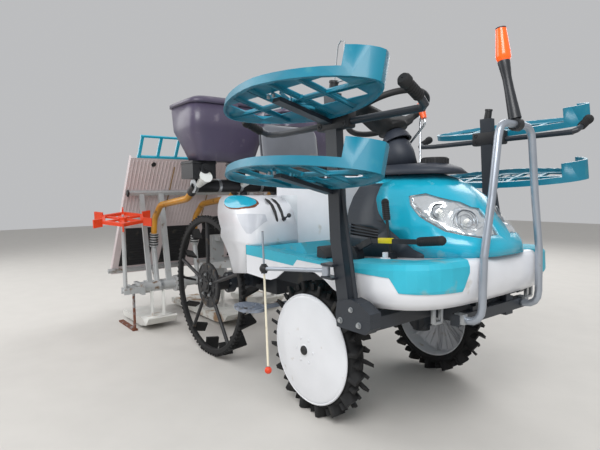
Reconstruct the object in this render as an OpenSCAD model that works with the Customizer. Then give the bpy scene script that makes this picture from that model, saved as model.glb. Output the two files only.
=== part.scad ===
// Four-row riding rice transplanter with fertiliser hoppers.
// X is forward, Y is to the machine's left, Z is up, and the ground is z = 0.
// Inside each module x is measured from the rear axle, and on_axle() moves it into the part's frame.

/* [Wheels] */
// Distance between the front and rear axles
wheelbase = 926; // [880:1:980]
// Diameter of a front wheel over its lugs
front_wheel_d = 555; // [530:1:575]
// Width of a front tyre over its lugs
front_tyre_w = 88; // [74:1:96]
// Distance between the middle planes of the front tyres
front_track = 788; // [770:1:810]
// Number of lugs on each side of a front tyre
front_lugs = 16; // [12:1:20]
// Diameter of a rear wheel over its paddles
rear_wheel_d = 800; // [770:1:820]
// Width of a rear wheel over its paddles
rear_wheel_w = 96; // [80:1:104]
// Distance between the middle planes of the rear wheels
rear_track = 776; // [766:1:800]
// Number of paddles on a rear wheel
rear_paddles = 14; // [10:1:18]

/* [Chassis] */
// Distance between the middles of the two frame rails
rail_gap = 230; // [220:1:250]
// Width of a frame rail
rail_w = 50; // [40:1:56]
// Height of a frame rail
rail_h = 70; // [60:1:80]
// Height of the underside of the frame rails
rail_z = 440; // [425:1:450]
// Distance between the kingpin axes
kingpin_gap = 590; // [575:1:600]

/* [Bodywork] */
// Width of the body over the floor and skirts
body_w = 930; // [915:1:945]
// Thickness of the moulded body panels
panel_t = 6; // [4:0.5:8]
// Height of the floor at its back edge
floor_z = 674; // [664:1:684]
// Height of the top of the rear cover
cover_z = 905; // [895:1:915]
// Width of the seat base
seat_base_w = 420; // [400:1:440]

/* [Seedling racks] */
// Length of a spare seedling plate
plate_l = 790; // [740:1:800]
// Width of a spare seedling plate
plate_w = 317; // [300:1:330]
// Depth of a plate's rim
plate_h = 28; // [22:1:34]
// Tilt of a plate, outer edge up
plate_tilt = 14; // [10:1:16]
// Height of the middle of the upper plates
plate_z_up = 1211; // [1195:1:1225]
// Height of the middle of the lower plates
plate_z_low = 968; // [955:1:985]
// Gap between the body's side and a rack post
post_clear = 18; // [12:1:24]

/* [Hoppers] */
// Length of a hopper across the machine
hopper_w = 480; // [450:1:490]
// Length of a hopper along the machine
hopper_l = 340; // [320:1:350]
// Height of a hopper without its lid
hopper_h = 300; // [280:1:305]
// Wall of a hopper
hopper_t = 4; // [3:0.5:6]

/* [Planting section] */
// Distance between two rows
row_gap = 300; // [290:1:305]
// Width of the seedling table
table_w = 1220; // [1200:1:1230]
// Slope of the seedling table from the horizontal
table_slope = 57; // [55:1:59]
// Diameter of the cross pipe that carries the planting cases
cross_pipe_d = 60; // [50:1:66]
// Radius that a planting claw sweeps
claw_r = 150; // [130:1:160]
// Diameter of a marker wheel over its paddles
star_d = 390; // [350:1:400]

/* [Hidden] */

$fn = 32;
// Running clearance round a shaft, and the gap between pieces that only lie close
fit_gap = 0.05;
seat_gap = 0.3;

teal = "#1fa8c4";
panel_white = "#e4e6ea";
frame_grey = "#3a4048";
dash_grey = "#4a4c54";
steel_grey = "#9a9c9c";
black = "#1c1d20";
smoke = "#5a5268";
orange = "#f0481c";
table_grey = "#a89e9c";
float_white = "#d8d8d4";

front_x = wheelbase;
front_r = front_wheel_d / 2;
rear_r = rear_wheel_d / 2;
half_w = body_w / 2;
rail_top = rail_z + rail_h;
kingpin_y = kingpin_gap / 2;
front_y = front_track / 2;
rear_y = rear_track / 2;

// The machine's length, from the claws' sweep at the back to the guard hoop at the front
guard_x = 1550;
guard_d = 27;
rotor_x = -1290;
rotor_z = 178;
length_front = guard_x + guard_d / 2;
length_rear = rotor_x - claw_r;
axle_shift = -(length_front + length_rear) / 2;

// The floor falls a little towards the front, and the bumper's top rises
deck_back = 488;
deck_front = 1150;
deck_t = 8;
deck_fall = 0.036;
function deck_top(x) = floor_z - deck_fall * (x - deck_back);
bumper_front = guard_x - 18;
bumper_fall = 0.068;
bumper_z = 690;
function bumper_top(x) = bumper_z + bumper_fall * (x - bumper_front);

module on_axle() { translate([axle_shift, 0, 0]) children(); }
// One copy on each side of the machine: the right side as drawn, and its mirror image
module both_sides() { for (s = [0, 1]) mirror([0, s, 0]) children(); }
module left_side() { mirror([0, 1, 0]) children(); }

function unit(v) = v / norm(v);
// A round bar from a to b
module bar(a, b, d, fn = 24) {
  v = b - a;
  translate(a)
    rotate([0, acos(v[2] / norm(v)), atan2(v[1], v[0])])
      cylinder(d = d, h = norm(v), $fn = fn);
}
// A rectangular bar from a to b, w wide and h deep, its width level
module flat_bar(a, b, w, h) {
  v = b - a;
  translate(a)
    rotate([0, acos(v[2] / norm(v)), atan2(v[1], v[0])])
      translate([-h / 2, -w / 2, 0]) cube([h, w, norm(v)]);
}
// Points of a path with each inner corner rounded to radius r in n steps
function rounded(p, r, n = 4) = [
  for (i = [0:len(p) - 1])
    if (i == 0 || i == len(p) - 1) p[i]
    else
      let (a = unit(p[i - 1] - p[i]), b = unit(p[i + 1] - p[i]),
           half = acos(a * b) / 2, reach = r / tan(half))
      for (k = [0:n])
        let (t = k / n, q0 = p[i] + a * reach, q1 = p[i] + b * reach)
        (1 - t) * (1 - t) * q0 + 2 * t * (1 - t) * p[i] + t * t * q1
];
function tangent_at(p, i) = unit(
  (i < len(p) - 1 ? unit(p[i + 1] - p[i]) : [0, 0, 0])
  + (i > 0 ? unit(p[i] - p[i - 1]) : [0, 0, 0]));
// A frame carried along the path, so that the tube doesn't twist
function carried(p, i, n0) = i == 0
  ? unit(cross(tangent_at(p, 0), n0))
  : let (u = carried(p, i - 1, n0), t = tangent_at(p, i)) unit(u - (u * t) * t);
// A round tube swept along the points
module swept(p, d, sides = 10, side = [0, 0, 1]) {
  rings = [for (i = [0:len(p) - 1])
    let (t = tangent_at(p, i), u = carried(p, i, side), v = cross(t, u))
    for (k = [0:sides - 1])
      p[i] + d / 2 * (cos(360 * k / sides) * u + sin(360 * k / sides) * v)];
  n = len(p);
  polyhedron(rings, concat(
    [[for (k = [0:sides - 1]) k]],
    [for (i = [0:n - 2]) for (k = [0:sides - 1])
      let (a = i * sides + k, b = i * sides + (k + 1) % sides)
      each [[a, b + sides, b], [a, a + sides, b + sides]]],
    [[for (k = [sides - 1:-1:0]) (n - 1) * sides + k]]));
}
// A closed form through rings of points, all with as many points
module lofted(rings) {
  m = len(rings[0]);
  n = len(rings);
  polyhedron([for (r = rings) each r], concat(
    [[for (k = [0:m - 1]) k]],
    [for (i = [0:n - 2]) for (k = [0:m - 1])
      let (a = i * m + k, b = i * m + (k + 1) % m)
      each [[a, b + m, b], [a, a + m, b + m]]],
    [[for (k = [m - 1:-1:0]) (n - 1) * m + k]]));
}
// A side outline in X and Z, w wide about the middle of the machine
module side_cut(points, w) {
  translate([0, w / 2, 0]) rotate([90, 0, 0]) linear_extrude(w) polygon(points);
}
module side_cut_at(y, w) { translate([0, y, 0]) rotate([90, 0, 0]) linear_extrude(w) children(); }
function sign_pow(v, e) = sign(v) * pow(abs(v), e);
// A rounded outline between an oval and a box, l by w
function oval(l, w, n, steps) = [
  for (i = [0:steps - 1]) let (a = 360 * i / steps)
    [l / 2 * sign_pow(cos(a), 2 / n), w / 2 * sign_pow(sin(a), 2 / n)]];

// Chassis: two rails, cross members, and arms out to the rack posts
cross_x = [420, 1040, 1430];
arm_x = 1290;
post_w = 34;
post_y = half_w + post_clear + post_w / 2;
foot_x = 1190;
foot_w = post_w + 18;
foot_top = rail_z + 54;
floor_post_x = [540, 880];
floor_post_l = 40;
bumper_post_x = 1456;
module chassis_frame() {
  color(frame_grey) on_axle() {
    difference() {
      union() {
        both_sides()
          translate([-185, -rail_gap / 2 - rail_w / 2, rail_z]) cube([1665, rail_w, rail_h]);
        for (x = cross_x)
          translate([x - 25, -rail_gap / 2, rail_z + 5]) cube([50, rail_gap, rail_h - 10]);
        both_sides() {
          translate([arm_x - 30, -post_y - post_w / 2, rail_z + 8])
            cube([60, post_y - rail_gap / 2 + post_w / 2, 46]);
          translate([0, -post_y + foot_w / 2, 0]) rotate([90, 0, 0]) linear_extrude(foot_w)
            polygon([[foot_x, rail_z + 8], [foot_x - 6, foot_top], [foot_x + 160, foot_top],
              [foot_x + 160, rail_z + 30], [foot_x + 138, rail_z + 8]]);
          for (x = floor_post_x) translate([0, -rail_gap / 2 + 10, 0]) rotate([90, 0, 0]) linear_extrude(20)
            polygon([[x, rail_top - 5], [x + floor_post_l, rail_top - 5],
              [x + floor_post_l, deck_top(x + floor_post_l) - deck_t - seat_gap],
                     [x, deck_top(x) - deck_t - seat_gap]]);
          translate([duct_x - 20, -rail_gap / 2 - 14, rail_top - 5])
            cube([40, 28, duct_z - duct_d / 2 - seat_gap - rail_top + 5]);
          translate([bumper_post_x, -120, rail_z + 50])
            cube([24, 30, bumper_top(bumper_post_x) - panel_t - seat_gap - rail_z - 50]);
        }
        translate([1450, -230, rail_z + 14]) cube([34, 460, 40]);
        eye(low_pin, 2 * (low_y + 16), pin_d);
        for (y = [-34, 34]) translate([link_front - 30, y - 6, rail_z + 20])
          cube([60, 12, top_z - rail_z + 10]);
        translate([link_front - 30, -rail_gap / 2, rail_z + 10]) cube([60, rail_gap, 50]);
        eye(top_pin, 80, pin_d);
        for (y = [-31, 31]) translate([barrel_pin[0] - 24, y - 6, rail_z + 20])
          cube([48, 12, barrel_pin[2] - rail_z]);
        eye(barrel_pin, 74, pin_d);
        translate([barrel_pin[0] - 24, -rail_gap / 2, rail_z + 10]) cube([48, rail_gap, 50]);
      }
      both_sides()
        for (x = [1350, 1410])
          translate([x, -rail_gap / 2, rail_z - 1]) cylinder(d = 13, h = rail_h + 2, $fn = 24);
    }
  }
}

engine_x = 966;
engine_l = 178;
engine_w = 320;
engine_h = 285;
module engine_block() {
  color("#8a8d90") on_axle()
    translate([engine_x, -engine_w / 2, rail_top + seat_gap]) cube([engine_l, engine_w, engine_h]);
}

axle_tube_d = 78;
module transmission_case() {
  color(frame_grey) on_axle() {
    difference() {
      union() {
        translate([-110, -rail_gap / 2 + rail_w / 2 + seat_gap, 330])
          cube([310, rail_gap - rail_w - 2 * seat_gap, 170]);
        both_sides() {
          translate([0, -300, rear_r]) rotate([-90, 0, 0]) cylinder(d = axle_tube_d, h = 230);
          translate([0, -145, rear_r]) rotate([90, 0, 0]) cylinder(d = 150, h = 26);
          translate([0, -270, rear_r]) rotate([90, 0, 0]) cylinder(d = 120, h = 30);
        }
      }
      both_sides()
        translate([0, -301, rear_r]) rotate([-90, 0, 0])
          cylinder(d = wheel_shaft_d + 2 * fit_gap, h = shaft_in + 1);
    }
  }
}
wheel_shaft_d = 36;
shaft_in = 60;

// Front axle: a cast case across the machine with a kingpin boss at each end
kingpin_d = 40;
boss_d = 84;
boss_top = 430;
boss_bottom = 352;
module front_axle_case() {
  color(frame_grey) on_axle()
    difference() {
      union() {
        translate([front_x - 75, -85, 320]) cube([150, 170, 90]);
        translate([front_x - 75, -rail_gap / 2 - rail_w / 2, 404])
          cube([150, rail_gap + rail_w, rail_z - 404 - seat_gap]);
        both_sides() {
          translate([front_x, -kingpin_y, boss_bottom]) cylinder(d = boss_d, h = boss_top - boss_bottom);
          translate([front_x, -kingpin_y + 30, 391]) rotate([-90, 0, 0]) cylinder(d = 64, h = kingpin_y - 60);
        }
      }
      both_sides()
        translate([front_x, -kingpin_y, boss_bottom - 1])
          cylinder(d = kingpin_d + 2 * fit_gap, h = boss_top - boss_bottom + 2);
    }
}

// A knuckle: the kingpin, the drive case under it and the bearing of the wheel's shaft
hub_y = front_y - front_tyre_w / 2 - 6;
module knuckle() {
  color(frame_grey)
    difference() {
      union() {
        translate([front_x, -kingpin_y, boss_bottom - 20])
          cylinder(d = kingpin_d, h = boss_top - boss_bottom + 34);
        translate([front_x, -kingpin_y, boss_top + 5]) cylinder(d = 66, h = 16);
        translate([front_x, -kingpin_y, front_r - 55]) cylinder(d = 86, h = boss_bottom - 5 - front_r + 55);
        translate([front_x, -hub_y, front_r]) rotate([-90, 0, 0])
          cylinder(d = 100, h = hub_y - kingpin_y + 40);
        flat_bar([front_x, -kingpin_y, boss_top + 13], [front_x - 90, -kingpin_y + 20, boss_top + 13],
          26, 14);
      }
      translate([front_x, -hub_y - 1, front_r]) rotate([-90, 0, 0])
        cylinder(d = wheel_shaft_d + 2 * fit_gap, h = shaft_in + 1);
    }
}
module knuckle_right() { on_axle() knuckle(); }
module knuckle_left() { on_axle() left_side() knuckle(); }

// Front tyre: a round carcass with slanted lugs on each shoulder
tyre_in_r = 204;
carcass_r = 246;
lug_t = 15;
module front_tyre() {
  color(black)
    translate([front_x, -front_y, front_r]) rotate([90, 0, 0]) union() {
      rotate_extrude($fn = 72)
        polygon([[tyre_in_r, -30], [tyre_in_r + 8, -36], [carcass_r - 12, -34], [carcass_r, -20],
                 [carcass_r + 3, 0], [carcass_r, 20], [carcass_r - 12, 34], [tyre_in_r + 8, 36],
                   [tyre_in_r, 30]]);
      for (s = [-1, 1]) for (i = [0:front_lugs - 1])
        rotate([0, 0, 360 * (i + (s > 0 ? 0.5 : 0)) / front_lugs])
          translate([carcass_r - 14, 0, 0]) rotate([0, 90, 0])
            linear_extrude(front_r - carcass_r + 14)
              polygon([[s * -4, 14 - lug_t / 2], [s * -4, 14 + lug_t / 2],
                       [s * -front_tyre_w / 2, -12 + lug_t / 2], [s * -front_tyre_w / 2, -12 - lug_t / 2]]);
    }
}
module front_tyre_right() { on_axle() front_tyre(); }
module front_tyre_left() { on_axle() left_side() front_tyre(); }

// Front disc: rim barrel, ribbed dished cover on the outside, and the hub with its shaft
disc_r = 227;
module front_disc() {
  out = front_tyre_w / 2;
  color(panel_white)
    translate([front_x, -front_y, front_r]) rotate([90, 0, 0]) difference() {
      union() {
        rotate_extrude($fn = 72)
          polygon([[tyre_in_r - 6, -30], [tyre_in_r - seat_gap, -30], [tyre_in_r - seat_gap, out - 1],
                   [disc_r, out - 1], [disc_r, out + 3], [150, out + 17], [60, out + 24], [0, out + 26],
                   [0, out + 21], [60, out + 19], [150, out + 12], [tyre_in_r - 6, out + 1]]);
        translate([0, 0, -out - 6 + 0.5]) cylinder(d = 64, h = 2 * out + 26);
        translate([0, 0, -out - 6 - shaft_in + 2]) cylinder(d = wheel_shaft_d, h = shaft_in);
        for (i = [0:7]) rotate([0, 0, 45 * i])
          translate([28, -3, out - 14]) cube([tyre_in_r - 32, 6, 20]);
        translate([0, 0, out + 20]) cylinder(d = 34, h = 9);
      }
    }
}
module front_disc_right() { on_axle() front_disc(); }
module front_disc_left() { on_axle() left_side() front_disc(); }

// Rear wheel: a rubber-covered ring with paddles inside it, on steel spokes
ring_r = 372;
ring_w = 28;
ring_h = 30;
ring_out = rear_wheel_w / 2;
board_h = 72;
hub_disc_d = 256;
module rear_ring() {
  color(black)
    translate([0, -rear_y, rear_r]) rotate([90, 0, 0]) union() {
      rotate_extrude($fn = 72)
        translate([ring_r - ring_h / 2, ring_out - ring_w])
          polygon([[0, 5], [5, 0], [ring_h - 5, 0], [ring_h, 5], [ring_h, ring_w - 5],
                   [ring_h - 5, ring_w], [5, ring_w], [0, ring_w - 5]]);
      // Each paddle is a knob outside the ring, and a deeper board beside it that clears the spokes
      for (i = [0:rear_paddles - 1]) rotate([0, 0, 360 * i / rear_paddles]) difference() {
        translate([rear_r - board_h, 0, 0]) rotate([0, 90, 0]) linear_extrude(board_h)
          polygon([[2 - ring_out, -9], [2 - ring_out, 7], [ring_out, 34], [ring_out, 22]]);
        translate([0, 0, ring_out - ring_w - 1]) cylinder(r = ring_r - 4, h = ring_w + 2);
      }
    }
}
module rear_ring_right() { on_axle() rear_ring(); }
module rear_ring_left() { on_axle() left_side() rear_ring(); }

spokes = 5;
module rear_hub() {
  spoke_end = ring_r - ring_h / 2 - seat_gap;
  color(black)
    translate([0, -rear_y, rear_r]) rotate([90, 0, 0]) union() {
      translate([0, 0, ring_out - 24]) cylinder(d = hub_disc_d, h = 14, $fn = 64);
      translate([0, 0, 300 - rear_y + 8]) cylinder(d = 76, h = ring_out + rear_y - 300 - 8);
      translate([0, 0, 300 - rear_y - shaft_in + 4]) cylinder(d = wheel_shaft_d, h = shaft_in + 8);
      for (i = [0:spokes - 1]) rotate([0, 0, 90 + 360 * i / spokes])
        translate([70, 0, ring_out - 16]) rotate([0, 90, 0]) cylinder(d = 20, h = spoke_end - 70, $fn = 20);
      for (i = [0:4]) rotate([0, 0, 72 * i + 36])
        translate([62, 0, ring_out - 12]) cylinder(d = 20, h = 12, $fn = 6);
    }
}
module rear_hub_right() { on_axle() rear_hub(); }
module rear_hub_left() { on_axle() left_side() rear_hub(); }

// Bonnet: level sections, each with its height, half width and nose
bonnet_back = 955;
// columns: z, half width, nose x
bonnet_levels = [
  [690.3, 262, 1548], [730, 262, 1540], [790, 256, 1500], [850, 240, 1448],
  [900, 214, 1396], [940, 178, 1345], [972, 128, 1290], [990, 80, 1240]];
function bonnet_ring(z, w, nose, inset) = let (steps = 18, l = nose - bonnet_back - inset) concat(
  [for (i = [0:steps]) let (a = -90 + 180 * i / steps)
    let (x = bonnet_back + l * pow(abs(cos(a)), 0.75))
    [x, (w - inset) * sign_pow(sin(a), 0.62), z + (z < 700 ? bumper_fall * (x - bumper_front) : 0)]]);
module bonnet_form(inset) {
  lofted([for (s = bonnet_levels) bonnet_ring(s[0] - (s[0] > 700 ? inset : 0), s[1], s[2], inset)]);
}
side_panel_outline = [[940, 630], [1345, 630], [1338, 690], [1299, 706], [1261, 729], [1191, 773],
  [1128, 832],
  [1092, 886], [1076, 940], [1060, 1000], [940, 1000]];
module side_panel_zone() {
  difference() {
    side_cut(side_panel_outline, 2 * half_w);
    translate([900, -150, 600]) cube([500, 300, 500]);
  }
}
module bonnet() {
  color(teal) on_axle() difference() {
    bonnet_form(0);
    translate([0, 0, -0.5]) bonnet_form(panel_t);
    translate([bonnet_back - 20, -230, 600]) cube([20 + panel_t, 460, 330]);
    side_panel_zone();
    headlamp_zone(0);
  }
}
headlamp_outline = [[1232, 902], [1290, 912], [1400, 880], [1500, 818], [1530, 770], [1500, 754],
  [1400, 776], [1300, 826], [1250, 870]];
module headlamp_zone(inset) {
  difference() {
    side_cut(headlamp_outline, 2 * half_w);
    translate([1100, -40 - inset, 600]) cube([500, 80 + 2 * inset, 400]);
  }
}
module headlamps() {
  color("#dfe6ea") on_axle() intersection() {
    difference() { bonnet_form(1); translate([-30, 0, 0]) bonnet_form(24); }
    headlamp_zone(seat_gap);
  }
}
module side_panels() {
  color(frame_grey) on_axle() difference() {
    intersection() {
      difference() { bonnet_form(1.5); translate([0, 0, -1]) bonnet_form(1.5 + panel_t); }
      side_panel_zone();
    }
    both_sides() for (i = [0:3])
      translate([985, -300, 742 + 13 * i]) rotate([0, 3 + i, 0]) cube([150, 80, 7]);
  }
}

// Dash hood: the dark moulding on top of the bonnet, down to the column
module dash_hood() {
  color(dash_grey) on_axle() difference() {
    lofted([
      [for (i = [0:11]) let (a = 30 * i) [1120 + 215 * sign_pow(cos(a), 0.8),
        150 * sign_pow(sin(a), 0.8), 990.3]],
      [for (i = [0:11]) let (a = 30 * i) [1118 + 190 * sign_pow(cos(a), 0.8),
        128 * sign_pow(sin(a), 0.8), 1014]],
      [for (i = [0:11]) let (a = 30 * i) [1112 + 150 * sign_pow(cos(a), 0.8), 96 * sign_pow(sin(a), 0.8),
        1032]]]);
  }
}

// Steering column cover and wheel
wheel_c = [955, 0, 1268];
wheel_tilt = 24;
wheel_r = 182;
rim_d = 27;
column_d = 34;
// columns: z, middle x, radius
column_rings = [[1032.3, 1032, 79], [1101, 1020, 71], [1140, 1008, 60], [1160, 1003, 34]];
module column_cover() {
  color(dash_grey) on_axle() difference() {
    lofted([for (r = column_rings) [for (i = [0:15]) let (a = 22.5 * i)
      [r[1] + r[2] * cos(a), r[2] * 0.92 * sin(a), r[0]]]]);
    translate(wheel_c) rotate([0, -wheel_tilt, 0]) translate([0, 0, -156])
      cylinder(d = column_d + 2 * fit_gap, h = 90);
  }
}
module steering_wheel() {
  color(black) on_axle() translate(wheel_c) rotate([0, -wheel_tilt, 0]) union() {
    rotate_extrude($fn = 64) translate([wheel_r, 0]) circle(d = rim_d, $fn = 24);
    translate([45, 0, 0]) rotate([90, 0, -90]) linear_extrude(90)
      polygon([[-wheel_r, 8], [-wheel_r, -8], [-128, -34], [-92, -66], [-58, -80], [58, -80], [92, -66],
        [128, -34],
               [wheel_r, -8], [wheel_r, 8], [120, -12], [60, -34], [-60, -34], [-120, -12]]);
    translate([0, 0, -88]) cylinder(d = 132, h = 20, $fn = 40);
    translate([0, 0, -150]) cylinder(d = column_d, h = 66);
    bar([wheel_r * cos(60), wheel_r * sin(60), 4], [wheel_r * cos(60), wheel_r * sin(60), 70], 38);
  }
}

// Floor: a crowned teal deck along both sides of the bonnet, and pads on the bumper
ramp_back = 578;
ramp_front = 868;
ramp_top = [822, 706];
ramp_side = 395;
function ramp_z(x) = deck_top(ramp_back) + (ramp_top[1] - deck_top(ramp_back)) *
  (x - ramp_back) / (ramp_top[0] - ramp_back);
// The deck's outer edge is a lip that hangs over the skirt
lip_edge = [[deck_back, 628], [857, 617], [884, 645], [deck_front, 640]];
pad_t = 3;
module pad_zone() {
  translate([1350, 15 - half_w, 0]) rotate([0, 0, 57]) translate([0, 48, 0]) rotate([90, 0, 0])
    linear_extrude(240)
    polygon([[0, 730], [0, 645], [30, 589], [245, 589], [276, 650], [276, 730]]);
  translate([bumper_back + seat_gap, -half_w - 10, 636]) cube([250, 150, 60]);
}
module floor_deck() {
  color(teal) on_axle() {
    difference() {
      union() {
        side_cut([[deck_back, deck_top(deck_back) - deck_t], [deck_front, deck_top(deck_front) - deck_t],
                  [deck_front, deck_top(deck_front)], [deck_back, deck_top(deck_back)]], body_w);
        both_sides() {
          translate([0, -seat_base_w / 2 - seat_gap, 0]) rotate([90, 0, 0])
            linear_extrude(ramp_side - seat_base_w / 2)
            polygon([[ramp_back, deck_top(ramp_back) - 1], [ramp_front, deck_top(ramp_front) - 1], ramp_top]);
          translate([0, -half_w + panel_t, 0]) rotate([90, 0, 0]) linear_extrude(panel_t)
            polygon(concat(lip_edge, [[deck_front, deck_top(deck_front) - 1],
              [deck_back, deck_top(deck_back) - 1]]));
        }
        side_cut([[seat_base_front + seat_gap, deck_top(seat_base_front) - 1],
          [ramp_front, deck_top(ramp_front) - 1],
                  ramp_top, [seat_base_front + seat_gap, ramp_z(seat_base_front + seat_gap)]],
                    seat_base_w + 2);
      }
      translate([bonnet_back - seat_gap, -262 - seat_gap, 600]) cube([400, 524 + 2 * seat_gap, 200]);
    }
    both_sides() intersection() {
      difference() { bumper_form(-pad_t); bumper_form(-seat_gap); }
      pad_zone();
    }
  }
}

// Skirts: the white side panels with the front wheel's arch
skirt_outline = concat([for (i = [3:-1:0]) lip_edge[i] - [0, seat_gap]],
  [[deck_back, 539], [560, 536], [640, 532], [690, 534], [733, 548], [796, 589], [850, 606], [920, 612],
   [1000, 606], [1060, 584], [1105, 558], [deck_front, 545]]);
module side_skirts() {
  color(panel_white) on_axle() both_sides()
    translate([0, -half_w + panel_t, 0]) rotate([90, 0, 0])
      linear_extrude(panel_t) polygon(skirt_outline);
}

// Bumper: a moulded nose with a boxy plan, open underneath
bumper_back = 1150.3;
// columns: z, inset from the full plan
bumper_levels = [[536, 26], [560, 8], [600, 0], [668, 3], [686, 16], [690, 30]];
function bumper_ring(z, inset, thick) = let (steps = 20, l = bumper_front - bumper_back - inset - thick) [
  for (i = [0:steps]) let (a = -90 + 180 * i / steps,
    x = bumper_back + (i == 0 || i == steps ? 0 : l * pow(abs(cos(a)), 0.42)))
    [x, (half_w - inset - thick) * sign_pow(sin(a), 0.5), z + bumper_fall * (x - bumper_front)]];
// The bumper's form, inset by a wall or grown by a negative one
module bumper_form(thick) {
  lofted([for (s = bumper_levels) bumper_ring(s[0] - (s[0] > 600 ? thick : sign(thick)), s[1], thick)]);
}
module front_bumper() {
  color(panel_white) on_axle() difference() {
    bumper_form(0);
    bumper_form(panel_t);
    translate([bumper_back - 1, -half_w + 60, 480]) cube([panel_t + 2, body_w - 120, 168]);
  }
}

// Rear cover: the white console and fenders over the transmission
// columns: z, half width's inset, front x, front corner's radius
cover_levels = [[500, 0, 566, 60], [690, 0, 566, 60], [760, 7, 556, 74], [cover_z - 85, 18, 531, 92],
  [cover_z - 45, 31, 500, 106],
  [cover_z - 20, 46, 455, 116], [cover_z - 5, 62, 405, 120], [cover_z, 74, 378, 110]];
cover_back = -60;
function cover_ring(s, t) = let (w = half_w - s[1] - t, x = s[2] - t, r = s[3], z = s[0] - t) concat(
  [[cover_back - t * 2, w, z], [cover_back - t * 2, -w, z]],
  [for (i = [0:5]) [x - r + r * sin(18 * i), -w + r - r * cos(18 * i), z]],
  [for (i = [5:-1:0]) [x - r + r * sin(18 * i), w - r + r * cos(18 * i), z]]);
module cover_form(t) { lofted([for (s = cover_levels) cover_ring(s, t)]); }
// Everything under the deck's surface in front of its back edge
module under_deck(grow) {
  side_cut([[deck_back - seat_gap - grow, 400],
    [deck_back - seat_gap - grow, deck_top(deck_back) + seat_gap + grow],
            [700, deck_top(700) + seat_gap + grow], [700, 400]], body_w + 20);
}
cover_arch_in = 318;
module rear_cover() {
  wheel_room = rear_r + 12;
  side_wall_y = half_w - 13;
  lever_slots = [half_w - 143, half_w - 181];
  color(panel_white) on_axle() difference() {
    cover_form(0);
    difference() { cover_form(panel_t); under_deck(panel_t); }
    under_deck(0);
    side_cut([[-100, 400], [-100, 640], [300, 600], [340, 523], [376, 523], [deck_back, 537], [600, 537],
      [600, 400]], body_w + 20);
    // The side wall stands outside the wheel, so its arch can come lower
    both_sides() side_cut_at(-cover_arch_in, side_wall_y - cover_arch_in)
      translate([0, rear_r]) circle(r = wheel_room, $fn = 72);
    both_sides() side_cut_at(-cover_arch_in, half_w - cover_arch_in + 10) union() {
      translate([0, rear_r]) circle(r = rear_r - 20, $fn = 72);
      polygon([[-120, rear_r], [-120, 1000], [138, 1000], [142, cover_z], [186, 800], [236, 736],
        [236, rear_r]]);
    }
    translate([seat_base_back - seat_gap, -seat_base_w / 2 - seat_gap, 655])
      cube([500, seat_base_w + 2 * seat_gap, 300]);
    for (y = lever_slots) side_cut_at(-y + 5, 10)
      polygon([[445, 960], [445, cover_z - 25], [540, 795], [620, 795], [620, 960]]);
  }
}
seat_base_back = 386;
seat_base_front = 800;
seat_base_top = 968;
module seat_base() {
  color(panel_white) on_axle() difference() {
    side_cut([[seat_base_back, deck_top(seat_base_back) + seat_gap],
      [seat_base_front, deck_top(seat_base_front) + seat_gap],
              [seat_base_front, seat_base_top - 16], [seat_base_front - 14, seat_base_top],
                [seat_base_back + 14, seat_base_top],
              [seat_base_back, seat_base_top - 16]], seat_base_w);
    translate([seat_base_back + panel_t, -seat_base_w / 2 + panel_t, 600])
      cube([seat_base_front - seat_base_back - 2 * panel_t, seat_base_w - 2 * panel_t,
        seat_base_top - 16 - 600]);
  }
  color(panel_white) on_axle() {
    for (y = [-100, 100]) {
      eye(seat_pivot, 14, 28, y);
      translate([seat_pivot[0] - 14, y - 7, seat_base_top - 2])
        cube([28, 14, seat_pivot[2] - seat_base_top + 2]);
    }
    eye(seat_pivot, 276, seat_pin_d);
  }
}

// Seat: it tips forward on a pivot at the front of its base
seat_pivot = [690, 0, 992];
seat_pin_d = 12;
module seat_cushion() {
  color(black) on_axle() {
    translate([270, -210, 1000]) cube([400, 420, 66]);
    translate([290, -150, seat_base_top + seat_gap]) cube([80, 300, 32 - seat_gap + 1]);
    both_sides() difference() {
      union() {
        eye(seat_pivot, 16, 28, -126);
        translate([630, -134, 992]) cube([60, 16, 14]);
        translate([630, -134, 1000]) cube([40, 16, 20]);
      }
      translate(seat_pivot + [0, -100, 0]) rotate([90, 0, 0]) cylinder(d = seat_pin_d + 2 * fit_gap, h = 60);
    }
  }
}
module seat_back() {
  color(dash_grey) on_axle()
    translate([270 - seat_gap, 0, 1020]) rotate([0, -8, 0]) translate([-50, -205, 0]) cube([50, 410, 286]);
}

lever_y = -half_w + 150;
module levers_and_pedals() {
  slot_lever = [544, -half_w + 181, 790];
  slot_way = unit([60, 0, 26]);
  color(black) on_axle() {
    // The small lever out of the cover's slot
    bar(slot_lever + seat_gap * slot_way, slot_lever + 10 * slot_way, 20);
    bar(slot_lever + 8 * slot_way, slot_lever + 46 * slot_way, 8);
    translate(slot_lever + 50 * slot_way) sphere(d = 22);
    // The long lever beside the bonnet, on a box on the deck
    side_cut_at(lever_y + 20, 40) polygon([[1040, deck_top(1040) + seat_gap],
      [1100, deck_top(1100) + seat_gap], [1100, 676], [1082, 704], [1052, 704], [1040, 690]]);
    flat_bar([1064, lever_y, 690], [1160, lever_y, 736], 12, 24);
    flat_bar([1150, lever_y, 733], [1384, lever_y, 746], 10, 18);
    bar([1378, lever_y, 746], [1470, lever_y, 757], 30);
    // The upright lever on the bumper's top
    side_cut_at(lever_y + 44, 28) polygon([[1206, bumper_top(1206) + seat_gap],
      [1248, bumper_top(1248) + seat_gap], [1240, 694], [1212, 694]]);
    bar([1228, lever_y + 30, 688], [1207, lever_y + 30, 820], 11);
    bar([1208, lever_y + 30, 812], [1199, lever_y + 30, 880], 27);
    // The pedal
    side_cut_at(lever_y - 40, 60) polygon([[952, deck_top(952) + seat_gap],
      [1010, deck_top(1010) + seat_gap], [1010, 664], [966, 704], [954, 700]]);
  }
}

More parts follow.
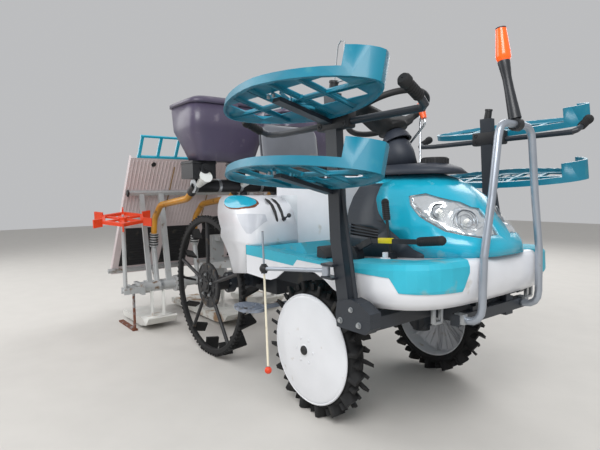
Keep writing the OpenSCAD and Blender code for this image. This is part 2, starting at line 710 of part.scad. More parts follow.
step_x = 508;
step_y = half_w - 3;
step_z = 368;
step_l = 190;
step_w = 132;
module footsteps() {
  color("#6a707a") on_axle() both_sides() union() {
    translate([step_x, -step_y, step_z]) {
      difference() {
        linear_extrude(14) polygon(oval(step_l, step_w, 2, 32));
        translate([0, 0, -1]) linear_extrude(16) polygon(oval(step_l - 26, step_w - 26, 2, 32));
      }
      for (x = [-50, -17, 17, 50]) translate([x - 4, -step_w / 2 + 10, 1]) cube([8, step_w - 20, 11]);
      translate([-step_l / 2 + 8, -4, 1]) cube([step_l - 16, 8, 11]);
    }
    translate([step_x - 15, -step_y - 45, step_z - 12])
      cube([30, step_y + 45 - rail_gap / 2 - rail_w / 2 + 20, 14]);
    translate([step_x - 15, -rail_gap / 2 - rail_w / 2 + 4, step_z - 12])
      cube([30, 14, rail_z - step_z + 12 - seat_gap]);
  }
}

// Rack posts with their brackets and grip bars
// columns: x of the post's middle, z
post_line = [[1220, foot_top + seat_gap], [1175, 750], [1146, plate_z_up + 52]];
plate_y = post_y + post_w / 2 + 1 + plate_w / 2 * cos(plate_tilt) + plate_h * sin(plate_tilt);
plate_x = 1140;
module on_plate(z) { translate([plate_x, -plate_y, z]) rotate([-plate_tilt, 0, 0]) children(); }
grip_z = plate_z_up - 56;
module rack_posts() {
  color(frame_grey) on_axle() both_sides() union() {
    translate([0, -post_y + post_w / 2, 0]) rotate([90, 0, 0]) linear_extrude(post_w)
      polygon(concat([for (q = post_line) [q[0] - 28, q[1]]],
        [for (i = [2:-1:0]) [post_line[i][0] + 28, post_line[i][1]]]));
    translate([0, -post_y + foot_w / 2, 0]) rotate([90, 0, 0]) linear_extrude(foot_w)
      polygon([[foot_x - 6, foot_top + seat_gap], [foot_x + 2, foot_top + 44],
        [foot_x + 70, foot_top + 62], [foot_x + 112, foot_top + 54],
               [foot_x + 160, foot_top + 26], [foot_x + 160, foot_top + seat_gap]]);
    bar([1262, -post_y, foot_top + 56], [1170, -post_y, 1060], 14);
    for (z = [plate_z_up, plate_z_low])
      on_plate(z) translate([-20, -60, -14 - seat_gap]) cube([44, plate_w / 2 + 60 + 16, 14]);
    bar([plate_x - 300, -post_y, grip_z], [plate_x + 395, -post_y, grip_z + 6], 24);
    for (dz = [-1, 1]) translate([side_pivot[0] - 14, side_pivot[1] - 14, side_pivot[2] + dz * 23 - 4])
      cube([60, 34 + post_w / 2 - 5, 8]);
    translate(side_pivot - [0, 0, 24]) cylinder(d = 12, h = 48);
  }
}

rim_w = 13;
lip_h = 88;
module rack_plate() {
  outer = oval(plate_l, plate_w, 1.7, 40);
  inner = oval(plate_l - 2 * rim_w, plate_w - 2 * rim_w, 1.7, 40);
  difference() {
    linear_extrude(plate_h) polygon(outer);
    translate([0, 0, plate_h / 2 + 2]) linear_extrude(plate_h) polygon(inner);
    translate([0, 0, -1]) linear_extrude(plate_h / 2 - 1) polygon(inner);
    for (x = [-232:116:232]) for (y = [-42, 42])
      translate([x - 48, y - 34, 0]) cube([96, 68, plate_h]);
  }
  // Ribs under the floor, in pairs
  for (e = [-6, 6]) {
    translate([-plate_l / 2 + rim_w - 2, e - 2, 3]) cube([plate_l - 2 * rim_w + 4, 4, plate_h / 2 - 2]);
    for (x = [-174:116:174]) let (y = plate_w / 2 * pow(1 - pow(abs(x) / plate_l * 2, 1.7), 1 / 1.7) - rim_w)
      translate([x + e - 2, -y, 3]) cube([4, 2 * y, plate_h / 2 - 2]);
  }
  // The raised lip at the front end
  linear_extrude(lip_h) intersection() {
    difference() { polygon(outer); polygon(inner); }
    translate([plate_l / 2 - 78, -plate_w]) square([100, 2 * plate_w]);
  }
}
module rack_plates() {
  color(teal) on_axle() both_sides()
    for (z = [plate_z_up, plate_z_low])
      on_plate(z) rack_plate();
}

// Guard hoop in front of the nose, and the folding centre marker on it
guard_foot_y = 200;
guard_top_z = 1150;
guard_side = [[1484 + seat_gap, -guard_foot_y, 474], [guard_x, -guard_foot_y, 474],
  [guard_x, -guard_foot_y + 8, 700],
  [guard_x, -150, 900], [guard_x, -110, guard_top_z]];
module guard_hoop() {
  color("#b8bcc2") on_axle()
    swept(rounded(concat(guard_side, [for (i = [len(guard_side) - 1:-1:0]) [guard_side[i][0],
      -guard_side[i][1], guard_side[i][2]]]), 58),
      guard_d, 12, [0, 1, 0]);
}
marker_top = [1500, 0, 1375];
module centre_marker() {
  color(black) on_axle() difference() {
    union() {
      translate([guard_x, 15, guard_top_z]) rotate([90, 0, 0]) cylinder(d = 46, h = 30);
      bar([guard_x - 2, 0, guard_top_z + 16], marker_top, 24);
    }
    translate([guard_x, 16, guard_top_z]) rotate([90, 0, 0]) cylinder(d = guard_d + 2 * seat_gap, h = 32);
  }
  color(orange) on_axle() bar(marker_top, [1486, 0, 1497], 36);
}

// Fertiliser unit: a duct across the machine, metering units and two lidded hoppers
duct_x = -105;
duct_z = 962;
duct_d = 76;
module blower_duct() {
  color(black) on_axle() {
    bar([duct_x, -440, duct_z], [duct_x, 440, duct_z], duct_d, 32);
    for (y = [-1.5, -0.5, 0.5, 1.5])
      bar([duct_x, y * 290, duct_z], [duct_x - 60, y * 290, duct_z - 40], 50);
  }
}
hopper_z = 1100;
hopper_x = -60;
hopper_y = 300;
function hopper_ring(z, sx, sy, dx, inset) = [
  for (p = oval((sx - inset) * 2, (sy - inset) * 2, 6, 24)) [hopper_x + dx + p[0], -hopper_y + p[1], z]];
module hopper_form(inset) {
  lofted([
    hopper_ring(hopper_z + inset, hopper_l * 0.24, hopper_w * 0.38, 30, inset),
    hopper_ring(hopper_z + 60, hopper_l * 0.30, hopper_w * 0.42, 24, inset),
    hopper_ring(hopper_z + 170, hopper_l * 0.46, hopper_w * 0.49, 4, inset),
    hopper_ring(hopper_z + hopper_h + (inset > 0 ? 1 : 0), hopper_l / 2, hopper_w / 2, 0, inset)]);
}
lid_pivot = [hopper_x - hopper_l / 2 - 24, -hopper_y, hopper_z + hopper_h - 8];
lid_pin_d = 8;
module hopper() {
  difference() {
    union() {
      hopper_form(0);
      for (y = [-60, 60]) translate([lid_pivot[0] - 8, lid_pivot[1] + y - 6, lid_pivot[2] - 8])
        cube([36, 12, 16]);
    }
    hopper_form(hopper_t);
  }
  eye(lid_pivot, 160, lid_pin_d);
}
module hopper_right() { color(smoke) on_axle() hopper(); }
module hopper_left() { color(smoke) on_axle() left_side() hopper(); }
module hopper_lid() {
  z0 = hopper_z + hopper_h + seat_gap;
  difference() {
    union() {
      lofted([
        hopper_ring(z0, hopper_l / 2 + 8, hopper_w / 2 + 8, 0, 0),
        hopper_ring(z0 + 16, hopper_l / 2 + 8, hopper_w / 2 + 8, 0, 0),
        hopper_ring(z0 + 40, hopper_l / 2 - 30, hopper_w / 2 - 40, 0, 0)]);
      for (y = [-74, 74]) {
        eye(lid_pivot, 10, 18, y);
        translate([lid_pivot[0] - 9, lid_pivot[1] + y - 5, lid_pivot[2]]) cube([29, 10, 16]);
      }
    }
    translate(lid_pivot + [0, 90, 0]) rotate([90, 0, 0]) cylinder(d = lid_pin_d + 2 * fit_gap, h = 180);
  }
}
module hopper_lid_right() { color(smoke) on_axle() hopper_lid(); }
module hopper_lid_left() { color(smoke) on_axle() left_side() hopper_lid(); }
module metering_units() {
  color(black) on_axle() both_sides() for (y = [0.5, 1.5])
    difference() {
      translate([duct_x - 30, -y * 290 - 70, duct_z + duct_d / 2 + seat_gap])
        cube([150, 140, hopper_z - duct_z - duct_d / 2 - 2 * seat_gap]);
    }
}
boot_x = -735;
boot_z = 650;
boot_way = unit([12, 0, 90]);
stub_end = [duct_x - 60, duct_z - 40];
stub_way = unit([-60, 0, -40]);
module air_hoses() {
  color("#b8801e") on_axle() for (y = [-1.5, -0.5, 0.5, 1.5])
    swept(rounded([[stub_end[0], y * 290, stub_end[1]] + seat_gap * stub_way,
      [stub_end[0], y * 290, stub_end[1]] + 60 * stub_way,
      [-600, y * row_gap, 845], [boot_x, y * row_gap, boot_z] + 100 * boot_way,
        [boot_x, y * row_gap, boot_z] + seat_gap * boot_way],
      110, 5), 40, 8, [0, 1, 0]);
}

// Side markers: an arm that swings out from the post, with a whip rod and a ball
side_pivot = [1140, -post_y - 30, 640];
whip_foot = [872, -post_y - 106, 213];
whip_top = [792, -post_y - 70, 760];
whip_knob = whip_foot + (whip_top - whip_foot) * 0.73;
module side_marker() {
  color("#b8bcc2") difference() {
    union() {
      translate(side_pivot - [0, 0, 17]) cylinder(d = 30, h = 34);
      bar(side_pivot - [8, 0, 0], whip_knob, 16);
      translate(whip_knob) sphere(d = 36);
      bar(whip_foot, whip_top, 8);
    }
    translate(side_pivot - [0, 0, 18]) cylinder(d = 12 + 2 * fit_gap, h = 36);
  }
  color(orange) translate(whip_foot) sphere(d = 28);
}
module side_marker_right() { on_axle() side_marker(); }
module side_marker_left() { on_axle() left_side() side_marker(); }

// Lift links: two lower arms and a top arm make a parallelogram behind the chassis
link_front = -150;
low_z = 472;
top_z = 660;
link_l = 470;
link_droop = 8;
link_run = [-link_l * cos(link_droop), 0, -link_l * sin(link_droop)];
low_pin = [link_front, 0, low_z];
top_pin = [link_front, 0, top_z];
low_y = 156;
pin_d = 24;
crank = 90;
crank_back = 20;
crank_pin = top_pin - [crank * sin(-crank_back), 0, crank * cos(crank_back)];
barrel_pin = [240, 0, 574];
rod_eye = crank_pin - [0, 0, 2.7];
module eye(at, w, d, y = 0) { translate(at + [0, y + w / 2, 0]) rotate([90, 0, 0]) cylinder(d = d, h = w); }
module pin_hole(at, w, y = 0) {
  translate(at + [0, y + w / 2 + 1, 0]) rotate([90, 0, 0]) cylinder(d = pin_d + 2 * fit_gap, h = w + 2);
}
module lower_links() {
  color(frame_grey) on_axle() difference() {
    union() {
      both_sides() {
        eye(low_pin, 20, 50, -low_y);
        eye(low_pin + link_run, 20, 50, -low_y);
        flat_bar(low_pin + [0, -low_y, 0], low_pin + link_run + [0, -low_y, 0], 18, 38);
      }
      bar(low_pin + link_run * 0.35 + [0, -low_y, 0], low_pin + link_run * 0.35 + [0, low_y, 0], 32);
    }
    both_sides() {
      pin_hole(low_pin, 20, -low_y);
      pin_hole(low_pin + link_run, 20, -low_y);
    }
  }
}
module top_link() {
  color(frame_grey) on_axle() difference() {
    union() {
      eye(top_pin, 44, 50);
      eye(top_pin + link_run, 26, 50);
      flat_bar(top_pin, top_pin + link_run, 20, 34);
      for (y = [-17, 17]) {
        eye(crank_pin, 10, 40, y);
        flat_bar(top_pin + [0, y, 0], crank_pin + [0, y, 0], 8, 34);
      }
      eye(crank_pin, 40, 18);
    }
    pin_hole(top_pin, 44);
    pin_hole(top_pin + link_run, 26);
  }
}
barrel_l = 240;
rod_way = unit(rod_eye - barrel_pin);
module lift_barrel() {
  color(frame_grey) on_axle() difference() {
    union() {
      eye(barrel_pin, 30, 44);
      bar(barrel_pin, barrel_pin + barrel_l * rod_way, 46);
    }
    pin_hole(barrel_pin, 50);
    bar(barrel_pin + 60 * rod_way, barrel_pin + (barrel_l + 1) * rod_way, 24 + 2 * fit_gap);
  }
}
module lift_rod() {
  color("#b8bcc2") on_axle() difference() {
    union() {
      bar(barrel_pin + 90 * rod_way, rod_eye - 17 * rod_way, 24);
      eye(rod_eye, 20, 44);
    }
    translate(rod_eye + [0, 11, 0]) rotate([90, 0, 0]) cylinder(d = 28, h = 22);
  }
}

// Planting section: a cross pipe with its hitch, posts and guide rails for the table
pipe_x = -690;
pipe_z = 298;
table_top = [-668, 0, 1152];
table_len = 990;
table_t = 14;
guide_along = 252;
function on_slope(along, out) = table_top + [-along * cos(table_slope) - out * sin(table_slope), 0,
  -along * sin(table_slope) + out * cos(table_slope)];
module on_table() { translate(table_top) rotate([0, -table_slope, 0]) rotate([0, 0, 180]) children(); }
guide_at = on_slope(guide_along + 12, -12);
foot_along = 935;
end_y = 572;
guide_post_y = 370;
upright_y = 505;
foot_guide = on_slope(foot_along + 12, -12);
module planter_frame() {
  hitch = low_pin + link_run;
  top = top_pin + link_run;
  color(steel_grey) on_axle() union() {
    bar([pipe_x, -end_y - 3, pipe_z], [pipe_x, end_y + 3, pipe_z], cross_pipe_d, 32);
    translate([pipe_x - 20, -45, pipe_z]) cube([44, 90, top[2] - pipe_z + 20]);
    eye(hitch, 2 * (low_y - 11), 44);
    eye(hitch, 2 * (low_y + 16), pin_d);
    translate([pipe_x, -100, hitch[2] - 15]) cube([hitch[0] - pipe_x, 200, 30]);
    for (y = [-20, 20]) {
      eye(top, 12, 46, y);
      translate([pipe_x + 20, y - 6, top[2] - 20]) cube([top[0] - pipe_x - 20, 12, 40]);
    }
    eye(top, 40, pin_d);
    both_sides() {
      flat_bar([pipe_x, -guide_post_y, pipe_z], guide_at + [0, -guide_post_y, 0], 36, 24);
      flat_bar([pipe_x, -upright_y, pipe_z], guide_at + [0, -upright_y, 0], 30, 20);
      translate([stand_pivot[0] - 24, -end_y - 18, pipe_z - 34]) cube([160, 22, 68]);
      eye(stand_pivot, 36, pin_d, 8.5);
      for (x = [-27, 27]) translate([marker_pivot[0] + x - 5, marker_pivot[1] - 18, pipe_z - 20])
        cube([10, -marker_pivot[1] + 18 - end_y, 40]);
      bar(marker_pivot + [-32, 0, 0], marker_pivot + [32, 0, 0], 14);
    }
    on_table() translate([guide_along, -600, -24 - seat_gap]) cube([24, 1200, 24]);
    for (y = [-1.5, -0.5, 0.5, 1.5]) {
      bar([boot_x, y * row_gap, boot_z], [boot_x - 12, y * row_gap, boot_z - 90], 56);
      bar([boot_x - 12, y * row_gap, boot_z - 80], [boot_x + 30, y * row_gap, pipe_z + 10], 34);
    }
  }
}
case_w = 64;
module planting_cases() {
  back = [rotor_x, -row_gap, rotor_z];
  front = [pipe_x, -row_gap, pipe_z];
  color("#b0b2b2") on_axle() both_sides() difference() {
    union() {
      flat_bar(front, back, case_w - 4, 84);
      eye(back, case_w, 104);
      eye(front, case_w + 4, 110);
      flat_bar([-1100, -row_gap, 230], foot_guide + [0, -row_gap, 0], 30, 24);
      on_table() translate([foot_along, row_gap - 260, -24 - seat_gap]) cube([24, 600, 24]);
    }
    translate([pipe_x, -row_gap + case_w, pipe_z]) rotate([90, 0, 0])
      cylinder(d = cross_pipe_d + 2 * seat_gap, h = 2 * case_w);
    translate([rotor_x, -row_gap + case_w, rotor_z]) rotate([90, 0, 0])
      cylinder(d = 30 + 2 * fit_gap, h = 2 * case_w);
  }
}
rotor_gap = 6;
module rotor() {
  color("#b0b2b2") translate([rotor_x, -row_gap, rotor_z]) rotate([90, 0, 0]) union() {
    cylinder(d = 30, h = case_w + 2 * rotor_gap + 40, center = true);
    for (s = [-1, 1]) {
      translate([0, 0, s * (case_w / 2 + rotor_gap + 20)]) linear_extrude(40, center = true)
        difference() {
          union() {
            circle(d = 84);
            for (e = [-1, 1]) translate([e * 62, 0]) circle(d = 58);
            square([124, 56], center = true);
          }
        }
      for (e = [-1, 1]) translate([e * 62, 0, s * (case_w / 2 + rotor_gap + 64)]) {
        cylinder(d = 26, h = 70, center = true);
        translate([0, 0, s * 38]) linear_extrude(32, center = true)
          polygon([[e * -30, -20], [e * 30, -26], [e * 74, -10], [e * 88, 0], [e * 70, 6], [e * 20, 20],
            [e * -30, 18]]);
      }
    }
  }
}
module rotor_right() { on_axle() rotor(); }
module rotor_left() { on_axle() left_side() rotor(); }
// A float: its sole, its raised nose and its back, w wide
module float_form(x0, x1, w) {
  translate([0, w / 2, 0]) rotate([90, 0, 0]) linear_extrude(w)
    polygon([[x0, 32], [x0 + 30, 22], [x1 - 160, 22], [x1 - 50, 46], [x1, 96], [x1 - 20, 104],
      [x1 - 150, 84], [x1 - 260, 70], [x0 + 20, 64], [x0, 56]]);
}
float_hanger_h = pipe_z - cross_pipe_d / 2 - 60 - seat_gap;
mid_float_w = 224;
side_float_w = 200;
side_float_y = 455;
module floats() {
  color(float_white) on_axle() {
    float_form(rotor_x, rotor_x + 945, mid_float_w);
    for (y = [-40, 40]) translate([pipe_x - 20, y - 5, 60]) cube([40, 10, float_hanger_h]);
    both_sides() translate([0, -side_float_y, 0]) {
      float_form(rotor_x + claw_r + 12, pipe_x + 90, side_float_w);
      for (y = [-40, 40]) translate([pipe_x - 20, y - 5, 42]) cube([40, 10, float_hanger_h + 18]);
    }
  }
}
lanes = 4;
module seedling_table() {
  color(table_grey) on_axle() on_table() union() {
    translate([0, -table_w / 2, 0]) cube([table_len, table_w, 5]);
    for (i = [0:lanes]) translate([0, -table_w / 2 + (table_w - 8) / lanes * i, 0])
      cube([table_len - 40, 8, 36]);
    for (i = [0:lanes - 1]) for (k = [1:4])
      translate([20, -table_w / 2 + (table_w - 8) / lanes * (i + k / 5), 0]) cube([table_len - 80, 6, 9]);
  }
}
module table_racks() {
  color(teal) on_axle() on_table() union() {
    translate([-160, -table_w / 2 + 40, 0]) cube([12, table_w - 80, 14]);
    translate([-14 - seat_gap, -table_w / 2 + 40, 0]) cube([14, table_w - 80, 14]);
    for (i = [0:9]) translate([-155, -table_w / 2 + 42 + (table_w - 104) / 9 * i, 2]) cube([146, 20, 10]);
  }
}
stand_pivot = [-740, -601, 298];
module stand() {
  color(steel_grey) difference() {
    union() {
      eye(stand_pivot, 12, 40);
      flat_bar(stand_pivot, [stand_pivot[0], stand_pivot[1], 10], 10, 26);
      translate([-1034, stand_pivot[1] - 16, 0]) cube([304, 32, 12]);
    }
    pin_hole(stand_pivot, 12);
  }
}
module stand_right() { on_axle() stand(); }
module stand_left() { on_axle() left_side() stand(); }
marker_pivot = [-640, -684, 298];
star_centre = marker_pivot + [0, 0, 464];
// The folded marker wheel leans forward and outward
star_axis = unit([0.215, -0.067, 0.974]);
module marker_arm() {
  color(steel_grey) {
    difference() {
      union() {
        bar(marker_pivot + [-20, 0, 0], marker_pivot + [20, 0, 0], 30);
        bar(marker_pivot, star_centre - [0, 0, 38], 26);
        bar(star_centre - 44 * star_axis, star_centre + 26 * star_axis, 16);
      }
      bar(marker_pivot + [-21, 0, 0], marker_pivot + [21, 0, 0], 14 + 2 * fit_gap);
    }
  }
}
module marker_arm_right() { on_axle() marker_arm(); }
module marker_arm_left() { on_axle() left_side() marker_arm(); }
module marker_star() {
  color(orange) translate(star_centre) rotate([0, acos(star_axis[2]), atan2(star_axis[1], star_axis[0])]) {
    difference() {
      union() {
        rotate_extrude($fn = 6) translate([120, -10]) square([22, 20]);
        for (i = [0:5]) rotate([0, 0, 60 * i]) translate([20, -8, -6]) cube([110, 16, 12]);
        for (i = [0:5]) rotate([0, 0, 60 * i]) translate([138, -5, -26]) cube([star_d / 2 - 138, 10, 52]);
        cylinder(d = 60, h = 30, center = true);
      }
      cylinder(d = 16 + 2 * fit_gap, h = 32, center = true);
    }
  }
}
module marker_star_right() { on_axle() marker_star(); }
module marker_star_left() { on_axle() left_side() marker_star(); }

chassis_frame();
engine_block();
transmission_case();
front_axle_case();
bonnet();
headlamps();
dash_hood();
side_panels();
column_cover();
floor_deck();
side_skirts();
front_bumper();
rear_cover();
seat_base();
levers_and_pedals();
footsteps();
rack_posts();
rack_plates();
guard_hoop();
centre_marker();
blower_duct();
hopper_right();
hopper_left();
hopper_lid_right();
hopper_lid_left();
metering_units();
air_hoses();
seat_cushion();
seat_back();
steering_wheel();
side_marker_right();
side_marker_left();
knuckle_right();
knuckle_left();
front_tyre_right();
front_tyre_left();
front_disc_right();
front_disc_left();
rear_ring_right();
rear_ring_left();
rear_hub_right();
rear_hub_left();
lower_links();
top_link();
lift_barrel();
lift_rod();
planter_frame();
planting_cases();
rotor_right();
rotor_left();
floats();
seedling_table();
table_racks();
stand_right();
stand_left();
marker_arm_right();
marker_arm_left();
marker_star_right();
marker_star_left();
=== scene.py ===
"""A riding rice transplanter for four rows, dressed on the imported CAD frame.

Metres; +X is forward, +Y left and +Z up.
"""
from math import copysign, cos, exp, pi, radians, sin, tan, tau

import bmesh
import bpy
from mathutils import Matrix, Vector


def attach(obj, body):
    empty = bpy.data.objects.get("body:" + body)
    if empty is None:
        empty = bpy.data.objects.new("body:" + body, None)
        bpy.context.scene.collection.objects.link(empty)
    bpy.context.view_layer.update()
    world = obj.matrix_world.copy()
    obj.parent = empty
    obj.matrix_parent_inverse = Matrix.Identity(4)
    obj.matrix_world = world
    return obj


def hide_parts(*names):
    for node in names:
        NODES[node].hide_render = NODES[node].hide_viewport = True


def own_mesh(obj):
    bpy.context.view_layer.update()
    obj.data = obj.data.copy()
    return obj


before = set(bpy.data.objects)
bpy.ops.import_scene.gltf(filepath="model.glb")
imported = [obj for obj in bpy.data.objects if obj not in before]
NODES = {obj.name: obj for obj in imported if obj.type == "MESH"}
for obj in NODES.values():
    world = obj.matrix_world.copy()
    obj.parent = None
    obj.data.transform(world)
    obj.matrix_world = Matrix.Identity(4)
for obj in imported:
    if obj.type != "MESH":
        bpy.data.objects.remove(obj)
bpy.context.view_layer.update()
SIDES = {"right": -1, "left": 1}


# Camera, fitted to the photograph by the wheels, racks and body. Its place is given in millimetres from the
# rear axle and the ground, as every place below is.

AXLE_X = -0.06175


def at(x, y, z):
    """A place given in millimetres from the rear axle and the ground, in metres of the part's frame."""
    return Vector((x / 1000 + AXLE_X, y / 1000, z / 1000))


PHOTO_W = 600
FOCAL_PX = 467.72
SENSOR_MM = 36.0
CAMERA_MM = (2391, -1622, 923)
YAW, DIP, ROLL = radians(142.05), radians(4.08), radians(-0.6)
forward = Vector((cos(YAW) * cos(DIP), sin(YAW) * cos(DIP), -sin(DIP)))
right = forward.cross(Vector((0, 0, 1))).normalized()
up = right.cross(forward)
right, up = right * cos(ROLL) + up * sin(ROLL), up * cos(ROLL) - right * sin(ROLL)
camera_data = bpy.data.cameras.new("camera")
camera_data.sensor_width = SENSOR_MM
camera_data.lens = FOCAL_PX / PHOTO_W * SENSOR_MM
camera = bpy.data.objects.new("camera", camera_data)
turned = Matrix((right, up, -forward)).transposed().to_4x4()
camera.matrix_world = Matrix.Translation(at(*CAMERA_MM)) @ turned
bpy.context.scene.collection.objects.link(camera)
bpy.context.scene.camera = camera


# Floor and light: a pale matt floor under a soft shadow, three large lamps that draw long highlights, and a
# pale surround that the metal reflects.

def colour(code):
    """An sRGB hex colour as the linear colour that shaders take."""
    parts = [int(code[i:i + 2], 16) / 255 for i in (1, 3, 5)]
    return [p / 12.92 if p <= 0.04045 else ((p + 0.055) / 1.055) ** 2.4 for p in parts] + [1.0]


def add(tree, kind, sockets=(), **settings):
    """One shader node with its settings, and its sockets set or linked."""
    node = tree.nodes.new("ShaderNode" + kind)
    for key, value in settings.items():
        setattr(node, key, value)
    for key, value in dict(sockets).items():
        if isinstance(value, bpy.types.NodeSocket):
            tree.links.new(value, node.inputs[key])
        else:
            node.inputs[key].default_value = value
    return node


def stepped(tree, source, stops):
    """A colour ramp over a value, from a list of places and colours."""
    node = add(tree, "ValToRGB", {"Fac": source})
    while len(node.color_ramp.elements) < len(stops):
        node.color_ramp.elements.new(0.5)
    for element, (where, tint) in zip(node.color_ramp.elements, stops):
        element.position = where
        element.color = tint
    return node.outputs["Color"]


BLACK_TINT, WHITE_TINT = (0, 0, 0, 1), (1, 1, 1, 1)
CLOUD_MM = 160
CLOUD_FROM, CLOUD_TO = 0.35, 0.65
DARK_SHARE = 2.2
GRIME_TOP_MM = 520
PATCH_RIM = 0.12
SOILED_ROUGH = 0.72
COAT_ROUGH = 0.12
GRAIN_LIFT = 0.001


def noise(tree, place, size_mm, detail):
    """Random clouds of a size in mm."""
    made = add(tree, "TexNoise", {"Vector": place, "Scale": 1000 / size_mm, "Detail": detail})
    return made.outputs[0]


def finish(name, base, rough, metal=0.0, coat=0.0, uneven=0.06, soil=None, low_soil=0.0, grain=None,
           clear=1.0, glow=0.0):
    """A finish whose tone varies in broad clouds. Soil or rust lies in patches, given by their colour, the
    noise level where they begin and their size in mm, and thickens by low_soil towards the ground. A grain,
    given by its size in mm and its strength, breaks up the gloss."""
    made = bpy.data.materials.new(name)
    made.use_nodes = True
    tree = made.node_tree
    shader = tree.nodes["Principled BSDF"]
    for socket, value in (("Roughness", rough), ("Metallic", metal), ("Coat Weight", coat),
                          ("Coat Roughness", COAT_ROUGH), ("Alpha", clear)):
        shader.inputs[socket].default_value = value
    if glow:
        shader.inputs["Emission Color"].default_value = colour(base)
        shader.inputs["Emission Strength"].default_value = glow
    place = add(tree, "TexCoord").outputs["Object"]
    tone = colour(base)
    dark = [c * (1 - uneven * DARK_SHARE) for c in tone[:3]] + [1]
    light = [min(1, c * (1 + uneven)) for c in tone[:3]] + [1]
    shown = stepped(tree, noise(tree, place, CLOUD_MM, 4.0), [(CLOUD_FROM, dark), (CLOUD_TO, light)])
    if soil:
        soil_tint, soil_from, soil_mm = soil
        patch = noise(tree, place, soil_mm, 9.0)
        if low_soil:
            height = add(tree, "SeparateXYZ", {"Vector": place}).outputs["Z"]
            near = add(tree, "MapRange", {"Value": height, "From Min": GRIME_TOP_MM / 1000, "From Max": 0.0,
                                          "To Min": 0.0, "To Max": low_soil})
            patch = add(tree, "Math", {0: patch, 1: near.outputs[0]}, operation="ADD").outputs[0]
        mask = stepped(tree, patch, [(soil_from, BLACK_TINT), (min(1, soil_from + PATCH_RIM), WHITE_TINT)])
        mixed = add(tree, "Mix", {"Factor": mask, "A": shown, "B": colour(soil_tint)}, data_type="RGBA")
        shown = mixed.outputs["Result"]
        matt = add(tree, "MapRange", {"Value": mask, "To Min": rough, "To Max": max(rough, SOILED_ROUGH)})
        tree.links.new(matt.outputs[0], shader.inputs["Roughness"])
    tree.links.new(shown, shader.inputs["Base Color"])
    if grain:
        bump = add(tree, "Bump", {"Height": noise(tree, place, grain[0], 2.0), "Strength": grain[1],
                                  "Distance": GRAIN_LIFT})
        tree.links.new(bump.outputs["Normal"], shader.inputs["Normal"])
    return made


FLOOR_SIZE = 24
floor_form = bmesh.new()
bmesh.ops.create_grid(floor_form, x_segments=1, y_segments=1, size=FLOOR_SIZE / 2)
floor_mesh = bpy.data.meshes.new("floor")
floor_form.to_mesh(floor_mesh)
floor_form.free()
floor = bpy.data.objects.new("floor", floor_mesh)
bpy.context.scene.collection.objects.link(floor)
# A dull pale floor, even enough to leave the eye on the machine
floor_mesh.materials.append(finish("floor_pale", "#c9c6c1", 0.8, uneven=0.01))

AIM = Vector((0, 0, 0.6))
# columns: name, place, size, watts
LAMPS = [("key", (3.4, -3.2, 4.2), 3.0, 235), ("fill", (-3.6, -3.0, 3.0), 4.0, 110),
         ("back", (-1.0, 4.2, 4.0), 4.0, 150)]
for name, place, size, watts in LAMPS:
    lamp = bpy.data.lights.new(name, "AREA")
    lamp.size = size
    lamp.energy = watts
    lit = bpy.data.objects.new(name, lamp)
    lit.location = place
    lit.rotation_euler = (AIM - Vector(place)).to_track_quat("-Z", "Y").to_euler()
    bpy.context.scene.collection.objects.link(lit)
SURROUND_TINT, SURROUND_STRENGTH = "#e9eaec", 0.62
world = bpy.data.worlds.new("world")
bpy.context.scene.world = world
world.use_nodes = True
surround = world.node_tree.nodes["Background"]
surround.inputs["Color"].default_value = colour(SURROUND_TINT)
surround.inputs["Strength"].default_value = SURROUND_STRENGTH
bpy.context.scene.view_settings.view_transform = "Standard"


# Chassis: a welded and sprayed steel frame, with the cast engine and axle cases bolted between its rails. The
# bolts and straps are zinc plated.

SHARP_FROM = radians(32)


def dress(material, *names):
    """A finish and smooth shading for CAD nodes."""
    for name in names:
        data = NODES[name].data
        data.materials.clear()
        data.materials.append(material)
        data.shade_smooth()
        data.set_sharp_from_angle(angle=SHARP_FROM)


def piece(name, material, form, body="chassis", sharp=SHARP_FROM, turn_out=True):
    """A finished form as a piece that rides on a body; its place is in its mesh."""
    if turn_out:
        bmesh.ops.recalc_face_normals(form, faces=form.faces)
    mesh = bpy.data.meshes.new(name)
    form.to_mesh(mesh)
    form.free()
    mesh.materials.append(material)
    mesh.shade_smooth()
    mesh.set_sharp_from_angle(angle=sharp)
    made = bpy.data.objects.new(name, mesh)
    bpy.context.scene.collection.objects.link(made)
    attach(made, body)
    return made


def box_at(form, move, size, edge=0, segments=2):
    """A box of a size in metres, placed by a matrix, its edges rounded by edge in mm."""
    new = bmesh.ops.create_cube(form, size=1, matrix=move @ Matrix.Diagonal((*size, 1)))["verts"]
    if edge:
        rims = list({e for v in new for e in v.link_edges})
        bmesh.ops.bevel(form, geom=rims, offset=edge / 1000, segments=segments, affect="EDGES", profile=0.5,
                        material=-1, clamp_overlap=True)


def block(form, low, high, edge=0, turn=None):
    """A box between two corners in mm from the rear axle, its edges rounded, turned about its middle."""
    a, b = at(*low), at(*high)
    box_at(form, Matrix.Translation((a + b) / 2) @ (turn or Matrix()), b - a, edge)


def side_block(form, side, low, high, edge=0):
    """A box whose corners are given for the left side, set on its own side."""
    near, far = sorted((side * low[1], side * high[1]))
    block(form, (low[0], near, low[2]), (high[0], far, high[2]), edge)


def rod(form, a, b, d0, d1=None, sides=20):
    """A round bar or cone from a to b, in mm from the rear axle, with its ends closed."""
    start, end = at(*a), at(*b)
    way = end - start
    turn = way.to_track_quat("Z", "Y").to_matrix().to_4x4()
    bmesh.ops.create_cone(form, cap_ends=True, segments=sides, radius1=d0 / 2000, radius2=(d1 or d0) / 2000,
                          depth=way.length, matrix=Matrix.Translation((start + end) / 2) @ turn)


